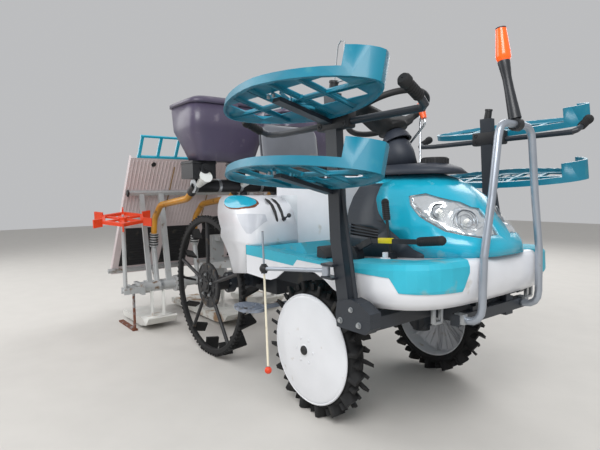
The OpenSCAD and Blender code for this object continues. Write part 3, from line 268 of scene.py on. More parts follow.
def lathe(form, foot, way, profile, steps=40):
    """A closed profile of radius and height in mm, spun about an axis through foot."""
    turn = Vector(way).to_track_quat("Z", "Y").to_matrix().to_4x4()
    place = Matrix.Translation(at(*foot)) @ turn
    ring = [form.verts.new(place @ Vector((r / 1000, 0, h / 1000))) for r, h in profile]
    edges = [form.edges.new(pair) for pair in zip(ring, ring[1:] + ring[:1])]
    bmesh.ops.spin(form, geom=ring + edges, cent=at(*foot), axis=turn.to_3x3() @ Vector((0, 0, 1)),
                   angle=tau, steps=steps, use_merge=True)


HEAD_HIGH, FLATS_FOOT, FLATS_TOP = 0.55, 1.15, 1.05
WASHER_HIGH, WASHER_WIDE = 0.12, 1.45


def hex_bolt(form, place, way, across):
    """A hexagon head on its washer, its underside at place, sized by its width across the flats."""
    foot, way = Vector(place), Vector(way)
    rod(form, foot, foot + way * across * WASHER_HIGH, across * WASHER_WIDE, sides=16)
    rod(form, foot, foot + way * across * HEAD_HIGH, across * FLATS_FOOT, across * FLATS_TOP, sides=6)


# Sprayed paint: a low sheen, dulled by dust that thickens towards the ground. Its dark blue grey is partly
# painted shade, set to the frame's tone in the shade under the body
frame_paint = finish("sprayed_steel_blue_grey", "#232931", 0.45, coat=0.1, soil=("#4d4b46", 0.65, 130),
                     low_soil=0.14, grain=(3, 0.08))
# Bright plating, gone dull and brown in specks
zinc = finish("zinc_plated_steel", "#a9adb0", 0.34, metal=0.8, soil=("#77695a", 0.64, 24))
# A bare cast skin: half matt and grainy
cast_engine = finish("cast_aluminium_engine", "#85888b", 0.55, metal=0.4, grain=(4, 0.3))
dress(frame_paint, "chassis_frame", "transmission_case", "front_axle_case", "knuckle_right", "knuckle_left",
      "lift_barrel", "rack_posts")
dress(cast_engine, "engine_block")
# columns: x, y on the left, z, width across the flats
CHASSIS_BOLTS = [(1210, 526, 474, 15), (1300, 526, 474, 15), (1262, 526, 520, 13), (-60, 140, 486, 14),
                 (20, 140, 486, 14), (60, 140, 486, 14), (-42, 300, 400, 11), (42, 300, 400, 11),
                 (0, 300, 442, 11), (0, 300, 358, 11)]
bolts = bmesh.new()
for side in SIDES.values():
    for x, y, z, across in CHASSIS_BOLTS:
        hex_bolt(bolts, (x, side * y, z), (0, side, 0), across)
piece("chassis_bolts", zinc, bolts)
# columns: low corner on the left, high corner, rounding
STRAPS = [((1448, 287, 478), (1462, 299, 533), 2), ((1448, 327, 478), (1462, 339, 533), 2),
          ((1448, 293, 474), (1462, 333, 484), 2), ((1462, 202, 462), (1500, 226, 500), 3)]
straps = bmesh.new()
for side in SIDES.values():
    for low, high, edge in STRAPS:
        side_block(straps, side, low, high, edge)
piece("strap_brackets", zinc, straps)


# Bonnet: one glossy teal moulding, clipped on. Behind each clear lamp cover lies a bright reflector, pressed
# into two bowls, each with its bulb and bezels.

MOULDED_FROM = radians(48)


def copied(node, inward=0):
    """A CAD node's form with its loose triangles merged and its walls moved inward, in mm."""
    form = bmesh.new()
    form.from_mesh(NODES[node].data)
    bmesh.ops.remove_doubles(form, verts=form.verts, dist=0.00001)
    form.normal_update()
    for v in form.verts:
        v.co -= v.normal * inward / 1000
    return form


def skinned(material, *nodes, body="chassis", sharp=MOULDED_FROM):
    """Merged copies that stand for CAD nodes, so that their curves shade as one smooth skin."""
    for node in nodes:
        skin = piece(node + "_skin", material, copied(node), body, sharp, turn_out=False)
        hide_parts(node)


# A glossy moulded skin, faded paler in broad patches
teal = finish("moulded_teal_glossy", "#17a7c4", 0.26, coat=0.4, uneven=0.04, soil=("#79b4bd", 0.66, 90))
skinned(teal, "bonnet")
# Plastic coated with aluminium, close to a mirror
reflector = finish("aluminised_reflector", "#e8ecef", 0.12, metal=0.95, uneven=0.02)
# Clear plastic under a hard coat: only its gloss is seen
lamp_cover = finish("clear_polycarbonate", "#eef3f6", 0.05, coat=0.8, uneven=0.02, clear=0.16)
# A warm white glass, smooth and bright
lamp_glass = finish("lamp_glass", "#f4f2ea", 0.1, coat=0.6, uneven=0.02)
# Satin metal that draws a soft line round each bowl
satin_bezel = finish("satin_lamp_bezel", "#6f767d", 0.3, metal=0.8, uneven=0.04)
dress(lamp_cover, "headlamps")

# The reflector is the lamp's own form, 3 mm in, cut fine enough to be pressed into bowls
REFLECTOR_INWARD = 3
FACET_MM = 11
SPLIT_PASSES = 6
REFLECTOR_PASSES = 3
REFLECTOR_SHARP = radians(75)
mirror = copied("headlamps", REFLECTOR_INWARD)
for _ in range(SPLIT_PASSES):
    long_edges = [e for e in mirror.edges if e.calc_length() > FACET_MM / 1000]
    if not long_edges:
        break
    bmesh.ops.subdivide_edges(mirror, edges=long_edges, cuts=1)
bmesh.ops.triangulate(mirror, faces=mirror.faces)
mirror.normal_update()
# columns: x, y, z near the bowl's middle, its radius, its depth
BOWLS = [(1455, 118, 826, 47, 30), (1372, 186, 860, 36, 22)]
# columns: share of the bowl's radius, setback, section as out and forward, steps round
BEZELS = [(0.8, 0, [(0, -3), (4, -4), (5, 0), (2, 2), (0, 1)], 40),
          (0.5, 5, [(0, -3), (2, -3), (2, 0), (0, 0)], 32)]
OUTER_FACING = 0.3
BULB_SET, RIM_SET_MM = 0.55, 6
bulbs = bmesh.new()
bezels = bmesh.new()
for side in SIDES.values():
    for x, y, z, r, deep in BOWLS:
        way = Vector((0.8, side * 0.42, 0.42)).normalized()
        outer = [v for v in mirror.verts if v.normal.dot(way) > OUTER_FACING]
        aim = at(x, side * y, z)
        middle = min(outer, key=lambda v: (v.co - aim).length).co.copy()
        for v in outer:
            share = (v.co - middle).length / (r / 1000)
            if share < 1:
                v.co -= way * deep / 1000 * (1 - share * share)
        middle_mm = (middle - at(0, 0, 0)) * 1000
        foot = middle_mm - way * deep * BULB_SET
        rod(bulbs, foot, foot + way * 14, 17, 12, sides=16)
        for share, back, section, steps in BEZELS:
            ring = [(r * share + out, ahead) for out, ahead in section]
            lathe(bezels, middle_mm - way * (RIM_SET_MM + back), way, ring, steps)
for _ in range(REFLECTOR_PASSES):
    bmesh.ops.smooth_vert(mirror, verts=mirror.verts, factor=0.5, use_axis_x=True, use_axis_y=True,
                          use_axis_z=True)
piece("headlamp_reflectors", reflector, mirror, sharp=REFLECTOR_SHARP, turn_out=False)
piece("headlamp_bulbs", lamp_glass, bulbs)
piece("headlamp_bezels", satin_bezel, bezels)


# Dash and column: dark textured mouldings clipped over the column, and side panels under them. A ribbed cap
# closes the filler, and a neck closes the cover under the steering wheel.

# A fine moulded texture that keeps the dash from shining
dash_plastic = finish("textured_dark_plastic", "#2a303b", 0.55, uneven=0.05, grain=(2.4, 0.25))
# A finer texture: a faint sheen, and dust in patches
side_plastic = finish("matt_side_panel", "#2c343d", 0.5, uneven=0.05, soil=("#56585a", 0.66, 110),
                      grain=(2.4, 0.15))
# Plain black mouldings, slightly grained and dusty
black_plastic = finish("black_plastic", "#1d1e21", 0.48, uneven=0.1, soil=("#3a3936", 0.64, 110),
                       grain=(3, 0.12))
skinned(dash_plastic, "dash_hood", "column_cover")
skinned(side_plastic, "side_panels")
CAP_X, CAP_Z = 1212, 1026
CAP_PROFILE = [(2, 0), (54, 0), (54, 24), (50, 30), (38, 31), (36, 27), (2, 27)]
CAP_RIBS, CAP_RIB_REACH, CAP_RIB_D = 24, 53, 7
PLUG_PROFILE = [(2, 0), (27, 0), (25, 12), (10, 15), (2, 15)]
cap = bmesh.new()
lathe(cap, (CAP_X, 0, CAP_Z), (0, 0, 1), CAP_PROFILE, 48)
for k in range(CAP_RIBS):
    turn = k * tau / CAP_RIBS
    x, y = CAP_X + CAP_RIB_REACH * cos(turn), CAP_RIB_REACH * sin(turn)
    rod(cap, (x, y, CAP_Z + 4), (x, y, CAP_Z + 25), CAP_RIB_D, sides=8)
lathe(cap, (1112, 44, 1029), (0, 0, 1), PLUG_PROFILE, 32)
piece("filler_cap", black_plastic, cap)
# The neck stands along the column and stays clear of the boss, which turns
NECK_FOOT, COLUMN_WAY = (1014, 0, 1136), (-0.407, 0, 0.914)
NECK_PROFILE = [(66, 0), (60, 22), (45, 44), (41, 48), (37, 48), (37, 42), (56, 0)]
neck = bmesh.new()
lathe(neck, NECK_FOOT, COLUMN_WAY, NECK_PROFILE)
piece("column_neck", dash_plastic, neck)
# A black sheet behind each side panel's louvres is painted shade, standing for the dark inside
louvre_shade = bmesh.new()
for side in SIDES.values():
    side_block(louvre_shade, side, (965, 238, 732), (1150, 246, 806), 1)
piece("louvre_painted_shade", black_plastic, louvre_shade)


# Gear levers: round rods, bent and chromed, that come out of the dash and the deck. Each has a moulded orange
# knob, pressed on.

# Hard chrome: a mirror with hardly a mark
chrome = finish("chromed_steel", "#c9ced3", 0.14, metal=1.0, uneven=0.03)
# A smooth moulded knob with a clear highlight
orange_knob = finish("orange_knob", "#f4622a", 0.3, coat=0.3, uneven=0.03)


def ball(form, place, d, squash=1.0):
    """A ball at a place in mm from the rear axle."""
    size = Matrix.Diagonal((d / 2000, d / 2000, d / 2000 * squash, 1))
    bmesh.ops.create_uvsphere(form, u_segments=20, v_segments=12, radius=1,
                              matrix=Matrix.Translation(at(*place)) @ size)


LEVER_D = 10
LEVER_LINES = [[(1022, 58, 1116), (1106, 67, 1204), (1112, 68, 1216), (1101, 70, 1240)],
               [(1004, 176, 940), (966, 222, 1306)]]
lever_rods = bmesh.new()
for line in LEVER_LINES:
    for a, b in zip(line, line[1:]):
        rod(lever_rods, a, b, LEVER_D)
ball(lever_rods, (1111, 68, 1212), LEVER_D)
piece("gear_lever_rods", chrome, lever_rods)
KNOB_FOOT_D, KNOB_D, KNOB_CROWN = 25, 31, 0.6
# columns: a knob's foot, its top, the middle of its crown
KNOBS = [((1104, 70, 1234), (1094, 70, 1262), (1093, 70, 1263)),
         ((965, 223, 1304), (961, 227, 1330), (961, 227, 1331))]
lever_knobs = bmesh.new()
for foot, top, crown in KNOBS:
    rod(lever_knobs, foot, top, KNOB_FOOT_D, KNOB_D)
    ball(lever_knobs, crown, KNOB_D, KNOB_CROWN)
piece("gear_lever_knobs", orange_knob, lever_knobs)


# Body: white moulded panels screwed round a teal deck with an anti-slip grain. Teal foot pads are let into
# the fenders, with rust at their rims.

# Moulded white: soft highlights and broad soil stains
white_panel = finish("moulded_white", "#e3e5ea", 0.3, coat=0.3, uneven=0.025, soil=("#b7b0a2", 0.67, 100),
                     low_soil=0.05)
# Grained against slipping: no highlight, and dust trodden in
deck_teal = finish("teal_deck_grain", "#2fb0c8", 0.5, uneven=0.06, soil=("#74a3a8", 0.58, 70), grain=(6, 0.3))
# Rough rust, blotched light and dark
rust = finish("rust", "#7a4630", 0.85, uneven=0.2, soil=("#a06a45", 0.52, 16), grain=(2, 0.2))
# Only the shadow between two panels
seam_dark = finish("panel_gap", "#26282b", 0.8, uneven=0.05)
# Bare foil: a bright grey sheen
label_foil = finish("label_foil", "#cdd3d8", 0.34, metal=0.1, uneven=0.03)
dress(white_panel, "side_skirts", "seat_base")
skinned(white_panel, "front_bumper", "rear_cover")
dress(deck_teal, "floor_deck")
FACING = 0.15
PATCH_DEEP = 0.05


def patch_of(node, way, middle, outline, lift):
    """A thin sheet over the part of a node's skin that lies inside an outline, seen against a way, in mm."""
    form = copied(node)
    way = Vector(way).normalized()
    turn = way.to_track_quat("Z", "Y").to_matrix()
    across, along = turn @ Vector((1, 0, 0)), turn @ Vector((0, 1, 0))
    bmesh.ops.delete(form, geom=[f for f in form.faces if f.normal.dot(way) < FACING], context="FACES")
    centre = at(*middle)
    corners = [centre + across * u / 1000 + along * v / 1000 for u, v in outline]
    cuts = [(a, (b - a).cross(way)) for a, b in zip(corners, corners[1:] + corners[:1])]
    for spot, out in cuts + [(centre - way * PATCH_DEEP, -way)]:
        if out.dot(spot - centre) < 0:
            out = -out
        bmesh.ops.bisect_plane(form, geom=form.verts[:] + form.edges[:] + form.faces[:], plane_co=spot,
                               plane_no=out, clear_outer=True)
    form.normal_update()
    for v in form.verts:
        v.co += v.normal * lift / 1000
    bmesh.ops.solidify(form, geom=form.faces[:], thickness=lift / 2000)
    return form


def oval(long, wide, power=2.4, steps=32):
    """A rounded outline, long by wide."""
    ring = []
    for k in range(steps):
        c, s = cos(k * tau / steps), sin(k * tau / steps)
        ring.append((long / 2 * copysign(abs(c) ** (2 / power), c),
                     wide / 2 * copysign(abs(s) ** (2 / power), s)))
    return ring


# Each fender has a teal foot pad let into its shoulder, with rust round the pad's rim, and a bare crest below
CREST = [(-96, 42), (84, 44), (88, 20), (66, -26), (40, -52), (10, -52), (-36, -20), (-74, 16)]
# Silver foil, satin and smooth
crest_foil = finish("bare_crest_foil", "#c6cad2", 0.35, coat=0.2, uneven=0.05)
for name, side in SIDES.items():
    lean = (0, side * 0.67, 0.74)
    rim = patch_of("rear_cover", lean, (348, side * 421, 884), oval(264, 92), 1.2)
    piece("fender_pad_rim_" + name, rust, rim)
    pad = patch_of("rear_cover", lean, (340, side * 421, 887), oval(252, 84), 2.4)
    piece("fender_pad_" + name, teal, pad)
    crest_outline = [(-side * u, v) for u, v in CREST]
    crest = patch_of("rear_cover", (0.3, side, 0.12), (478, side * 452, 778), crest_outline, 1)
    piece("bare_crest_" + name, crest_foil, crest)


def tube(form, route, radii, sides=18, side=Vector((0, 1, 0))):
    """A closed tube through points in mm, its radius given at each."""
    last = None
    for i, centre in enumerate(route):
        ahead = route[min(i + 1, len(route) - 1)] - route[max(i - 1, 0)]
        u = side.cross(ahead).normalized()
        v = ahead.cross(u).normalized()
        ring = [form.verts.new(at(*(centre + radii[i] * (cos(k * tau / sides) * u
                                                         + sin(k * tau / sides) * v))))
                for k in range(sides)]
        if last:
            for k in range(sides):
                form.faces.new((last[k], last[(k + 1) % sides], ring[(k + 1) % sides], ring[k]))
        else:
            form.faces.new(ring)
        last = ring
    form.faces.new(last)


# The two lever slots on each side of the cover's front slope are black strips: painted shade for the openings
SLOT_LINE = [(446, 889), (470, 876), (500, 855), (524, 824), (540, 785), (546, 768)]
SLOT_RADII = [3, 9, 10, 10, 9, 3]
slot_shade = bmesh.new()
for side in SIDES.values():
    for y in (322, 284):
        tube(slot_shade, [Vector((x, side * y, z)) for x, z in SLOT_LINE], SLOT_RADII, sides=12)
piece("lever_slot_painted_shade", black_plastic, slot_shade)
label = bmesh.new()
seams = bmesh.new()
for side in SIDES.values():
    side_block(label, side, (420, 209.2, 700), (560, 210.8, 905), 0.5)
    side_block(seams, side, (486.6, 463.8, 540), (488.6, 465.4, 672))
    side_block(seams, side, (1148.6, 464.2, 520), (1150.6, 465.4, 640))
piece("bare_label_plate", label_foil, label)
piece("panel_seams", seam_dark, seams)
# Raised ribs keep a boot from slipping on the deck, which falls a little towards the front
TREADS, TREAD_PITCH, TREAD_WIDE = 9, 26, 8
DECK_X, DECK_Z, DECK_FALL = 488, 674, 0.036
treads = bmesh.new()
for side in SIDES.values():
    for k in range(TREADS):
        x = 900 + TREAD_PITCH * k
        z = DECK_Z - DECK_FALL * (x - DECK_X)
        side_block(treads, side, (x, 300, z - 1), (x + TREAD_WIDE, 440, z + 2.2), 1)
piece("deck_ribs", deck_teal, treads)


# Controls: levers and pedals bent from bar and painted black, with rubber grips pushed on and a plain yellow
# band round one. The footsteps are grey castings with raised treads.

# Black paint with a soft sheen, worn grey where dust lies
lever_black = finish("black_painted_steel", "#22252a", 0.4, coat=0.1, uneven=0.08,
                     soil=("#4a4945", 0.66, 110))
# Matt rubber with a pebbled skin
rubber_grip = finish("rubber_grip", "#18191b", 0.75, uneven=0.1, grain=(4, 0.4))
# Adhesive film, flat and even
yellow_film = finish("yellow_film", "#e3cf1f", 0.35, uneven=0.03)
# Sand cast and painted: a dull grain with mud in patches
step_grey = finish("cast_step_grey", "#8c94a2", 0.5, metal=0.2, soil=("#5a5751", 0.58, 60), grain=(3, 0.3))
dress(lever_black, "levers_and_pedals")
dress(step_grey, "footsteps")
# The long lever lies at the machine's right, and rises a little to the front
band = bmesh.new()
block(band, (1196, -321.2, 729), (1262, -308.8, 749), 0.6, Matrix.Rotation(radians(-3.2), 4, "Y"))
piece("yellow_band", yellow_film, band)
GRIP_PITCH = 7
LONG_GRIP_RIBS, SHORT_GRIP_RIBS = 12, 9
grips = bmesh.new()
for k in range(LONG_GRIP_RIBS):
    x, z = 1384 + GRIP_PITCH * k, 746.6 + 0.84 * k
    rod(grips, (x, -315, z), (x + 3.5, -315, z + 0.4), 32.4, sides=24)
for k in range(SHORT_GRIP_RIBS):
    x, z = 1207.4 - 0.91 * k, 818 + GRIP_PITCH * k
    rod(grips, (x, -285, z), (x - 0.4, -285, z + 3.5), 29.4, sides=24)
ball(grips, (1470, -315, 757), 33)
ball(grips, (1199, -285, 880), 29)
piece("lever_grips", rubber_grip, grips)
bracket = bmesh.new()
block(bracket, (1214, -328, 668), (1244, -304, 676), 2)
block(bracket, (1222, -326, 676), (1234, -306, 696), 2)
piece("lever_bracket", white_panel, bracket)
# The treads are longest across the middle of the round step, with a ring in the middle
STEP_X, STEP_Y, STEP_TOP = 508, 462, 379
STEP_PITCH, STEP_HALF, STEP_CURVE = 23, 48, 2.2
step_grip = bmesh.new()
for side in SIDES.values():
    for k in range(-3, 4):
        half = STEP_HALF - STEP_CURVE * k * k
        x = STEP_X + STEP_PITCH * k
        low, high = (x - 4, STEP_Y - half, STEP_TOP + 1), (x + 4, STEP_Y + half, STEP_TOP + 8)
        side_block(step_grip, side, low, high, 2)
    lathe(step_grip, (STEP_X, side * STEP_Y, STEP_TOP), (0, 0, 1), [(26, 0), (32, 0), (32, 7), (26, 7)], 28)
piece("footstep_grips", step_grey, step_grip)


# Seedling racks: teal ribbed mouldings, bolted to brackets on two painted steel posts. The bars on the posts
# bend out at both ends, where a rubber sleeve gives a handhold.

# Moulded teal, less glossy than the bonnet and scuffed paler. It is set darker than the bonnet partly as
# painted shade, for the plates' shaded undersides
rack_teal = finish("moulded_teal_matt", "#0b7791", 0.42, coat=0.1, uneven=0.05, soil=("#2f8391", 0.62, 80),
                   grain=(3, 0.08))
skinned(rack_teal, "rack_plates", sharp=radians(35))
RACK_LEVELS = (1211, 968)
PLATE_X, PLATE_Y, PLATE_TILT = 1140, 678.6, radians(14)
POST_Y = 500
rack_bolts = bmesh.new()
for side in SIDES.values():
    for z in RACK_LEVELS:
        for x in (1128, 1156):
            for y, dz in ((600, -11), (760, 30)):
                rod(rack_bolts, (x, side * y, z + dz - 20), (x, side * y, z + dz - 10), 12, sides=6)
piece("rack_bolts", zinc, rack_bolts)
FRONT_BEND = [(1528, POST_Y, 1161), (1546, 508, 1168), (1550, 530, 1180), (1552, 560, 1196)]
REAR_BEND = [(846, POST_Y, 1155), (770, POST_Y, 1158), (748, 508, 1163), (742, 530, 1172), (738, 556, 1184)]
BAR_RADIUS = 12
SLEEVE = [(2, 0), (14, 0), (16, 8), (16, 62), (20, 68), (20, 82), (15, 90), (2, 90)]
SLEEVE_RIB = [(14, 0), (17.5, 1), (17.5, 4), (14, 5)]
SLEEVE_RIBS, SLEEVE_RIB_GAP = 6, 9
bar_ends = bmesh.new()
bar_grips = bmesh.new()
for side in SIDES.values():
    for bend, way in ((FRONT_BEND, (0.02, 0.84, 0.44)), (REAR_BEND, (-0.05, 0.84, 0.4))):
        route = [Vector((x, side * y, z)) for x, y, z in bend]
        tube(bar_ends, route, [BAR_RADIUS] * len(route), side=Vector((1, 0.2, 0.4)).normalized())
        out = Vector((way[0], side * way[1], way[2])).normalized()
        start = route[-1] - out * 12
        lathe(bar_grips, start - out * 14, out, SLEEVE, 24)
        for k in range(SLEEVE_RIBS):
            lathe(bar_grips, start + out * (SLEEVE_RIB_GAP * k - 8), out, SLEEVE_RIB, 24)
piece("rack_bar_ends", frame_paint, bar_ends)
piece("rack_bar_grips", rubber_grip, bar_grips)
# A moulded clamp holds bar and post with four bolts, and a slim stub stands on top
CLAMP_EYE = [(5, -21), (9, -21), (11, -17), (11, 17), (9, 21), (5, 21)]
clamps = bmesh.new()
for side in SIDES.values():
    y = side * POST_Y
    block(clamps, (1078, y - 19, 1136), (1244, y + 19, 1200), 7)
    for x in (1098, 1224):
        for z in (1152, 1184):
            lathe(clamps, (x, y, z), (0, 1, 0), CLAMP_EYE, 16)
    rod(clamps, (1148, y, 1258), (1154, y, 1300), 34, 31)
    rod(clamps, (1154, y, 1300), (1155, y, 1308), 36, 34)
piece("post_clamps", black_plastic, clamps)
# A loop of plated wire stands on the right post
HOOK = [(1156, 1302), (1168, 1380), (1176, 1424), (1190, 1436), (1208, 1430), (1206, 1380), (1196, 1302)]
WIRE_RADIUS = 2.6
hook = bmesh.new()
tube(hook, [Vector((x, -POST_Y, z)) for x, z in HOOK], [WIRE_RADIUS] * len(HOOK), sides=10)
rod(hook, (1150, -POST_Y, 1301), (1202, -POST_Y, 1301), 6, sides=12)
piece("post_wire_loop", zinc, hook)
# Fins and a ring round each plate's middle stiffen its underside
FINS = 14
FIN_SIZE = (0.06, 0.003, 0.011)
fin_set = Matrix.Translation((0.052, 0, 0.0075))
fins = bmesh.new()
for side in SIDES.values():
    for z in RACK_LEVELS:
        middle = (PLATE_X, side * PLATE_Y, z)
        place = Matrix.Translation(at(*middle)) @ Matrix.Rotation(side * PLATE_TILT, 4, "X")
        for k in range(FINS):
            box_at(fins, place @ Matrix.Rotation((k + 0.5) * tau / FINS, 4, "Z") @ fin_set, FIN_SIZE)
        lathe(fins, middle, place.to_3x3() @ Vector((0, 0, 1)), [(16, 2), (24, 2), (24, 12), (16, 12)], 24)
piece("rack_plate_fins", rack_teal, fins)


# Guard hoop: one stainless tube, bent and brushed. The marker that folds on it is a tapered, flexible black
# moulding with a lit orange lamp.

# Brushed metal that keeps its highlight soft, with a dull film in spots
stainless = finish("brushed_stainless_tube", "#a9b0ba", 0.36, metal=0.7, uneven=0.04,
                   soil=("#8a857c", 0.7, 40))
# A clear orange moulding that glows a little from inside
lamp_orange = finish("lit_orange_lens", "#ff5a12", 0.25, coat=0.5, uneven=0.05, glow=0.55)
skinned(stainless, "guard_hoop")
dress(black_plastic, "centre_marker")
LENS = [(14, 4), (20, 4), (25, 12), (26, 24), (23, 60), (20, 96), (18.4, 112), (18.4, 118), (14, 118)]
ARM = [(13, 20), (22, 20), (20, 60), (16.5, 130), (16, 170), (19, 205), (21, 225), (21, 233), (13, 233)]
lens = bmesh.new()
lathe(lens, (1500, 0, 1375), (-14, 0, 122), LENS, 36)
piece("marker_lamp_lens", lamp_orange, lens, "centre_marker")
sleeve = bmesh.new()
lathe(sleeve, (1550, 0, 1150), (-50, 0, 225), ARM, 32)
piece("marker_arm_sleeve", lever_black, sleeve, "centre_marker")


# Side markers: a thin rod in a cream sleeve, with a black knob and an orange ball pressed on, hung from a
# bright steel arm that swings on a bolt.

# A smooth cream coat, browned in spots where it is handled
cream = finish("cream_coated_rod", "#e6dfc8", 0.4, uneven=0.04, soil=("#a8997c", 0.64, 40))
# Bright orange plastic that the sun has dulled
orange_plastic = finish("orange_plastic", "#e0431c", 0.4, coat=0.15, uneven=0.05, soil=("#c4512f", 0.68, 110))
dress(stainless, "side_marker_right", "side_marker_left")
SLEEVE_FROM, SLEEVE_TO, KNOB_SHARE, KNOB_HALF = 0.03, 0.69, 0.73, 0.035
for name, side in SIDES.items():
    whip_body = "side_marker_" + name
    foot = Vector((872, side * 606, 213))
    whip = Vector((792, side * 570, 760)) - foot
    knob_at = foot + whip * KNOB_SHARE
    sleeve = bmesh.new()
    rod(sleeve, foot + whip * SLEEVE_FROM, foot + whip * SLEEVE_TO, 9.4, 8.8, sides=14)
    piece("whip_sleeve_" + name, cream, sleeve, whip_body)
    tip = bmesh.new()
    rod(tip, foot + whip, foot + whip * 1.004, 10, 8, sides=12)
    rod(tip, knob_at - whip * KNOB_HALF, knob_at + whip * KNOB_HALF, 26, 22)
    ball(tip, knob_at, 38)
    piece("whip_knob_" + name, black_plastic, tip, whip_body)
    bead = bmesh.new()
    ball(bead, foot, 29.2)
    piece("whip_ball_" + name, orange_plastic, bead, whip_body)
    joint_bolt = bmesh.new()
    hex_bolt(joint_bolt, (1140, side * 530, 658), (0, 0, 1), 13)
    piece("side_marker_bolt_" + name, zinc, joint_bolt)


# Fertiliser unit: two tinted mouldings with hinged lids, on black metering boxes. White funnels drop into an
# air duct, whose joints are held by plated clamps.

# Smoked plastic: dark, slightly see-through, and dusty inside
smoked = finish("smoked_hopper", "#514a5f", 0.36, coat=0.15, uneven=0.05, soil=("#6d6675", 0.62, 70),
                clear=0.93)
# Moulded white, browned by the fertiliser that runs through
funnel_white = finish("white_funnel", "#dfe2e0", 0.4, uneven=0.04, soil=("#a59d8c", 0.6, 30))
skinned(smoked, "hopper_right", "hopper_left", sharp=radians(55))
for name in SIDES:
    skinned(smoked, "hopper_lid_" + name, body="hopper_lid_" + name)
dress(black_plastic, "blower_duct", "metering_units")
METER_YS = (145, 435)
METER_RIBS, METER_RIB_PITCH = 5, 26
SHAFT_Z = 1056
for name, side in SIDES.items():
    latch = bmesh.new()
    side_block(latch, side, (104, 272, 1366), (119, 328, 1412), 4)
    piece("hopper_latch_" + name, smoked, latch, "hopper_lid_" + name)
    funnels = bmesh.new()
    units = bmesh.new()
    for y in [side * y for y in METER_YS]:
        rod(funnels, (30, y, 1012), (-62, y, 966), 66, 34, sides=24)
        rod(funnels, (34, y, 1014), (28, y, 1011), 74, sides=24)
        rod(units, (14, y, SHAFT_Z), (30, y, SHAFT_Z), 62, 56, sides=28)
        rod(units, (30, y, SHAFT_Z), (40, y, SHAFT_Z), 26, 22, sides=16)
        block(units, (-140, y - 74, 1084), (20, y + 74, 1092), 2)
        for k in range(METER_RIBS):
            rib_y = y - 58 + METER_RIB_PITCH * k
            block(units, (14, rib_y, 1020), (17, rib_y + 8, 1048), 1)
    piece("metering_funnels_" + name, funnel_white, funnels)
    piece("metering_details_" + name, black_plastic, units)
CLAMP_YS = (-440, -290, -145, 0, 145, 290, 440)
duct_rings = bmesh.new()
for y in CLAMP_YS:
    rod(duct_rings, (-105, y - 9, 962), (-105, y + 9, 962), 82, sides=36)
piece("duct_clamps", zinc, duct_rings)


# Air hoses: one length of ribbed amber hose for each row, pushed on the duct's stubs and into the boots on
# the planting section.

# Tinted hose with a soft gloss on its ribs, muddied in patches
amber_hose = finish("amber_hose", "#b9811b", 0.36, coat=0.2, uneven=0.1, soil=("#7d5a22", 0.6, 45))
STUB = Vector((-165, 0, 922))
STUB_WAY = Vector((-60, 0, -40)).normalized()
BOOT = Vector((-735, 0, 650))
BOOT_WAY = Vector((12, 0, 90)).normalized()
ROWS = (-1.5, -0.5, 0.5, 1.5)
STUB_GAP, ROW_GAP = 290, 300
ELBOW = Vector((-600, 0, 845))
HOSE_BEND_MM = 110
HOSE_D_MM = 40
HOSE_RIB_MM = 11
RIDGE, GROOVE = 0.6, -0.9
HOSE_SHARP = radians(80)


def bent(corners, radius, steps=8):
    """A route with each corner turned on a smooth curve."""
    route = [corners[0]]
    for before, corner, after in zip(corners, corners[1:], corners[2:]):
        a, b = (before - corner).normalized(), (after - corner).normalized()
        reach = radius / tan(a.angle(b) / 2)
        p, q = corner + a * reach, corner + b * reach
        for k in range(steps + 1):
            t = k / steps
            route.append((1 - t) ** 2 * p + 2 * t * (1 - t) * corner + t * t * q)
    return route + [corners[-1]]


def spaced(route, gap):
    """The same route as points at even distances."""
    made = [route[0]]
    left = gap
    for a, b in zip(route, route[1:]):
        span = (b - a).length
        done = 0.0
        while span - done >= left:
            done += left
            made.append(a.lerp(b, done / span))
            left = gap
        left -= span - done
    return made + [route[-1]]


hoses = bmesh.new()
for row in ROWS:
    across = Vector((0, row * ROW_GAP, 0))
    exit_at = STUB + Vector((0, row * STUB_GAP, 0))
    entry = BOOT + across
    corners = [exit_at + 0.3 * STUB_WAY, exit_at + 60 * STUB_WAY, ELBOW + across, entry + 100 * BOOT_WAY,
               entry + 0.3 * BOOT_WAY]
    route = spaced(bent(corners, HOSE_BEND_MM), HOSE_RIB_MM / 2)
    radii = [HOSE_D_MM / 2 + (RIDGE if k % 2 else GROOVE) for k in range(len(route))]
    tube(hoses, route, radii)
hose_piece = piece("ribbed_air_hoses", amber_hose, hoses, sharp=HOSE_SHARP)
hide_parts("air_hoses")
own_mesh(hose_piece)


# Seat: a black vinyl cushion and a grey vinyl back over foam, sewn in channels with welt piping, on a pressed
# steel pan that tips forward on two barrels.

# Grained vinyl, worn to a low sheen where one sits
vinyl_black = finish("black_vinyl", "#1f2125", 0.42, uneven=0.06, grain=(3, 0.3), soil=("#44423e", 0.68, 110))
# The same vinyl in grey, with a finer grain and a little more shine
vinyl_grey = finish("grey_vinyl", "#6b6e75", 0.38, coat=0.06, uneven=0.05, grain=(3, 0.2),
                    soil=("#7c7a76", 0.66, 110))
SOFT_CUTS = 30
CORNER_POWER = 5.0
EDGE_ROUND, EDGE_DROP = 0.07, 0.22
CHANNEL_WIDE, CHANNEL_DEEP = 0.03, 6
SOFT_SHARP = radians(60)
PIPING_SHARP = radians(80)


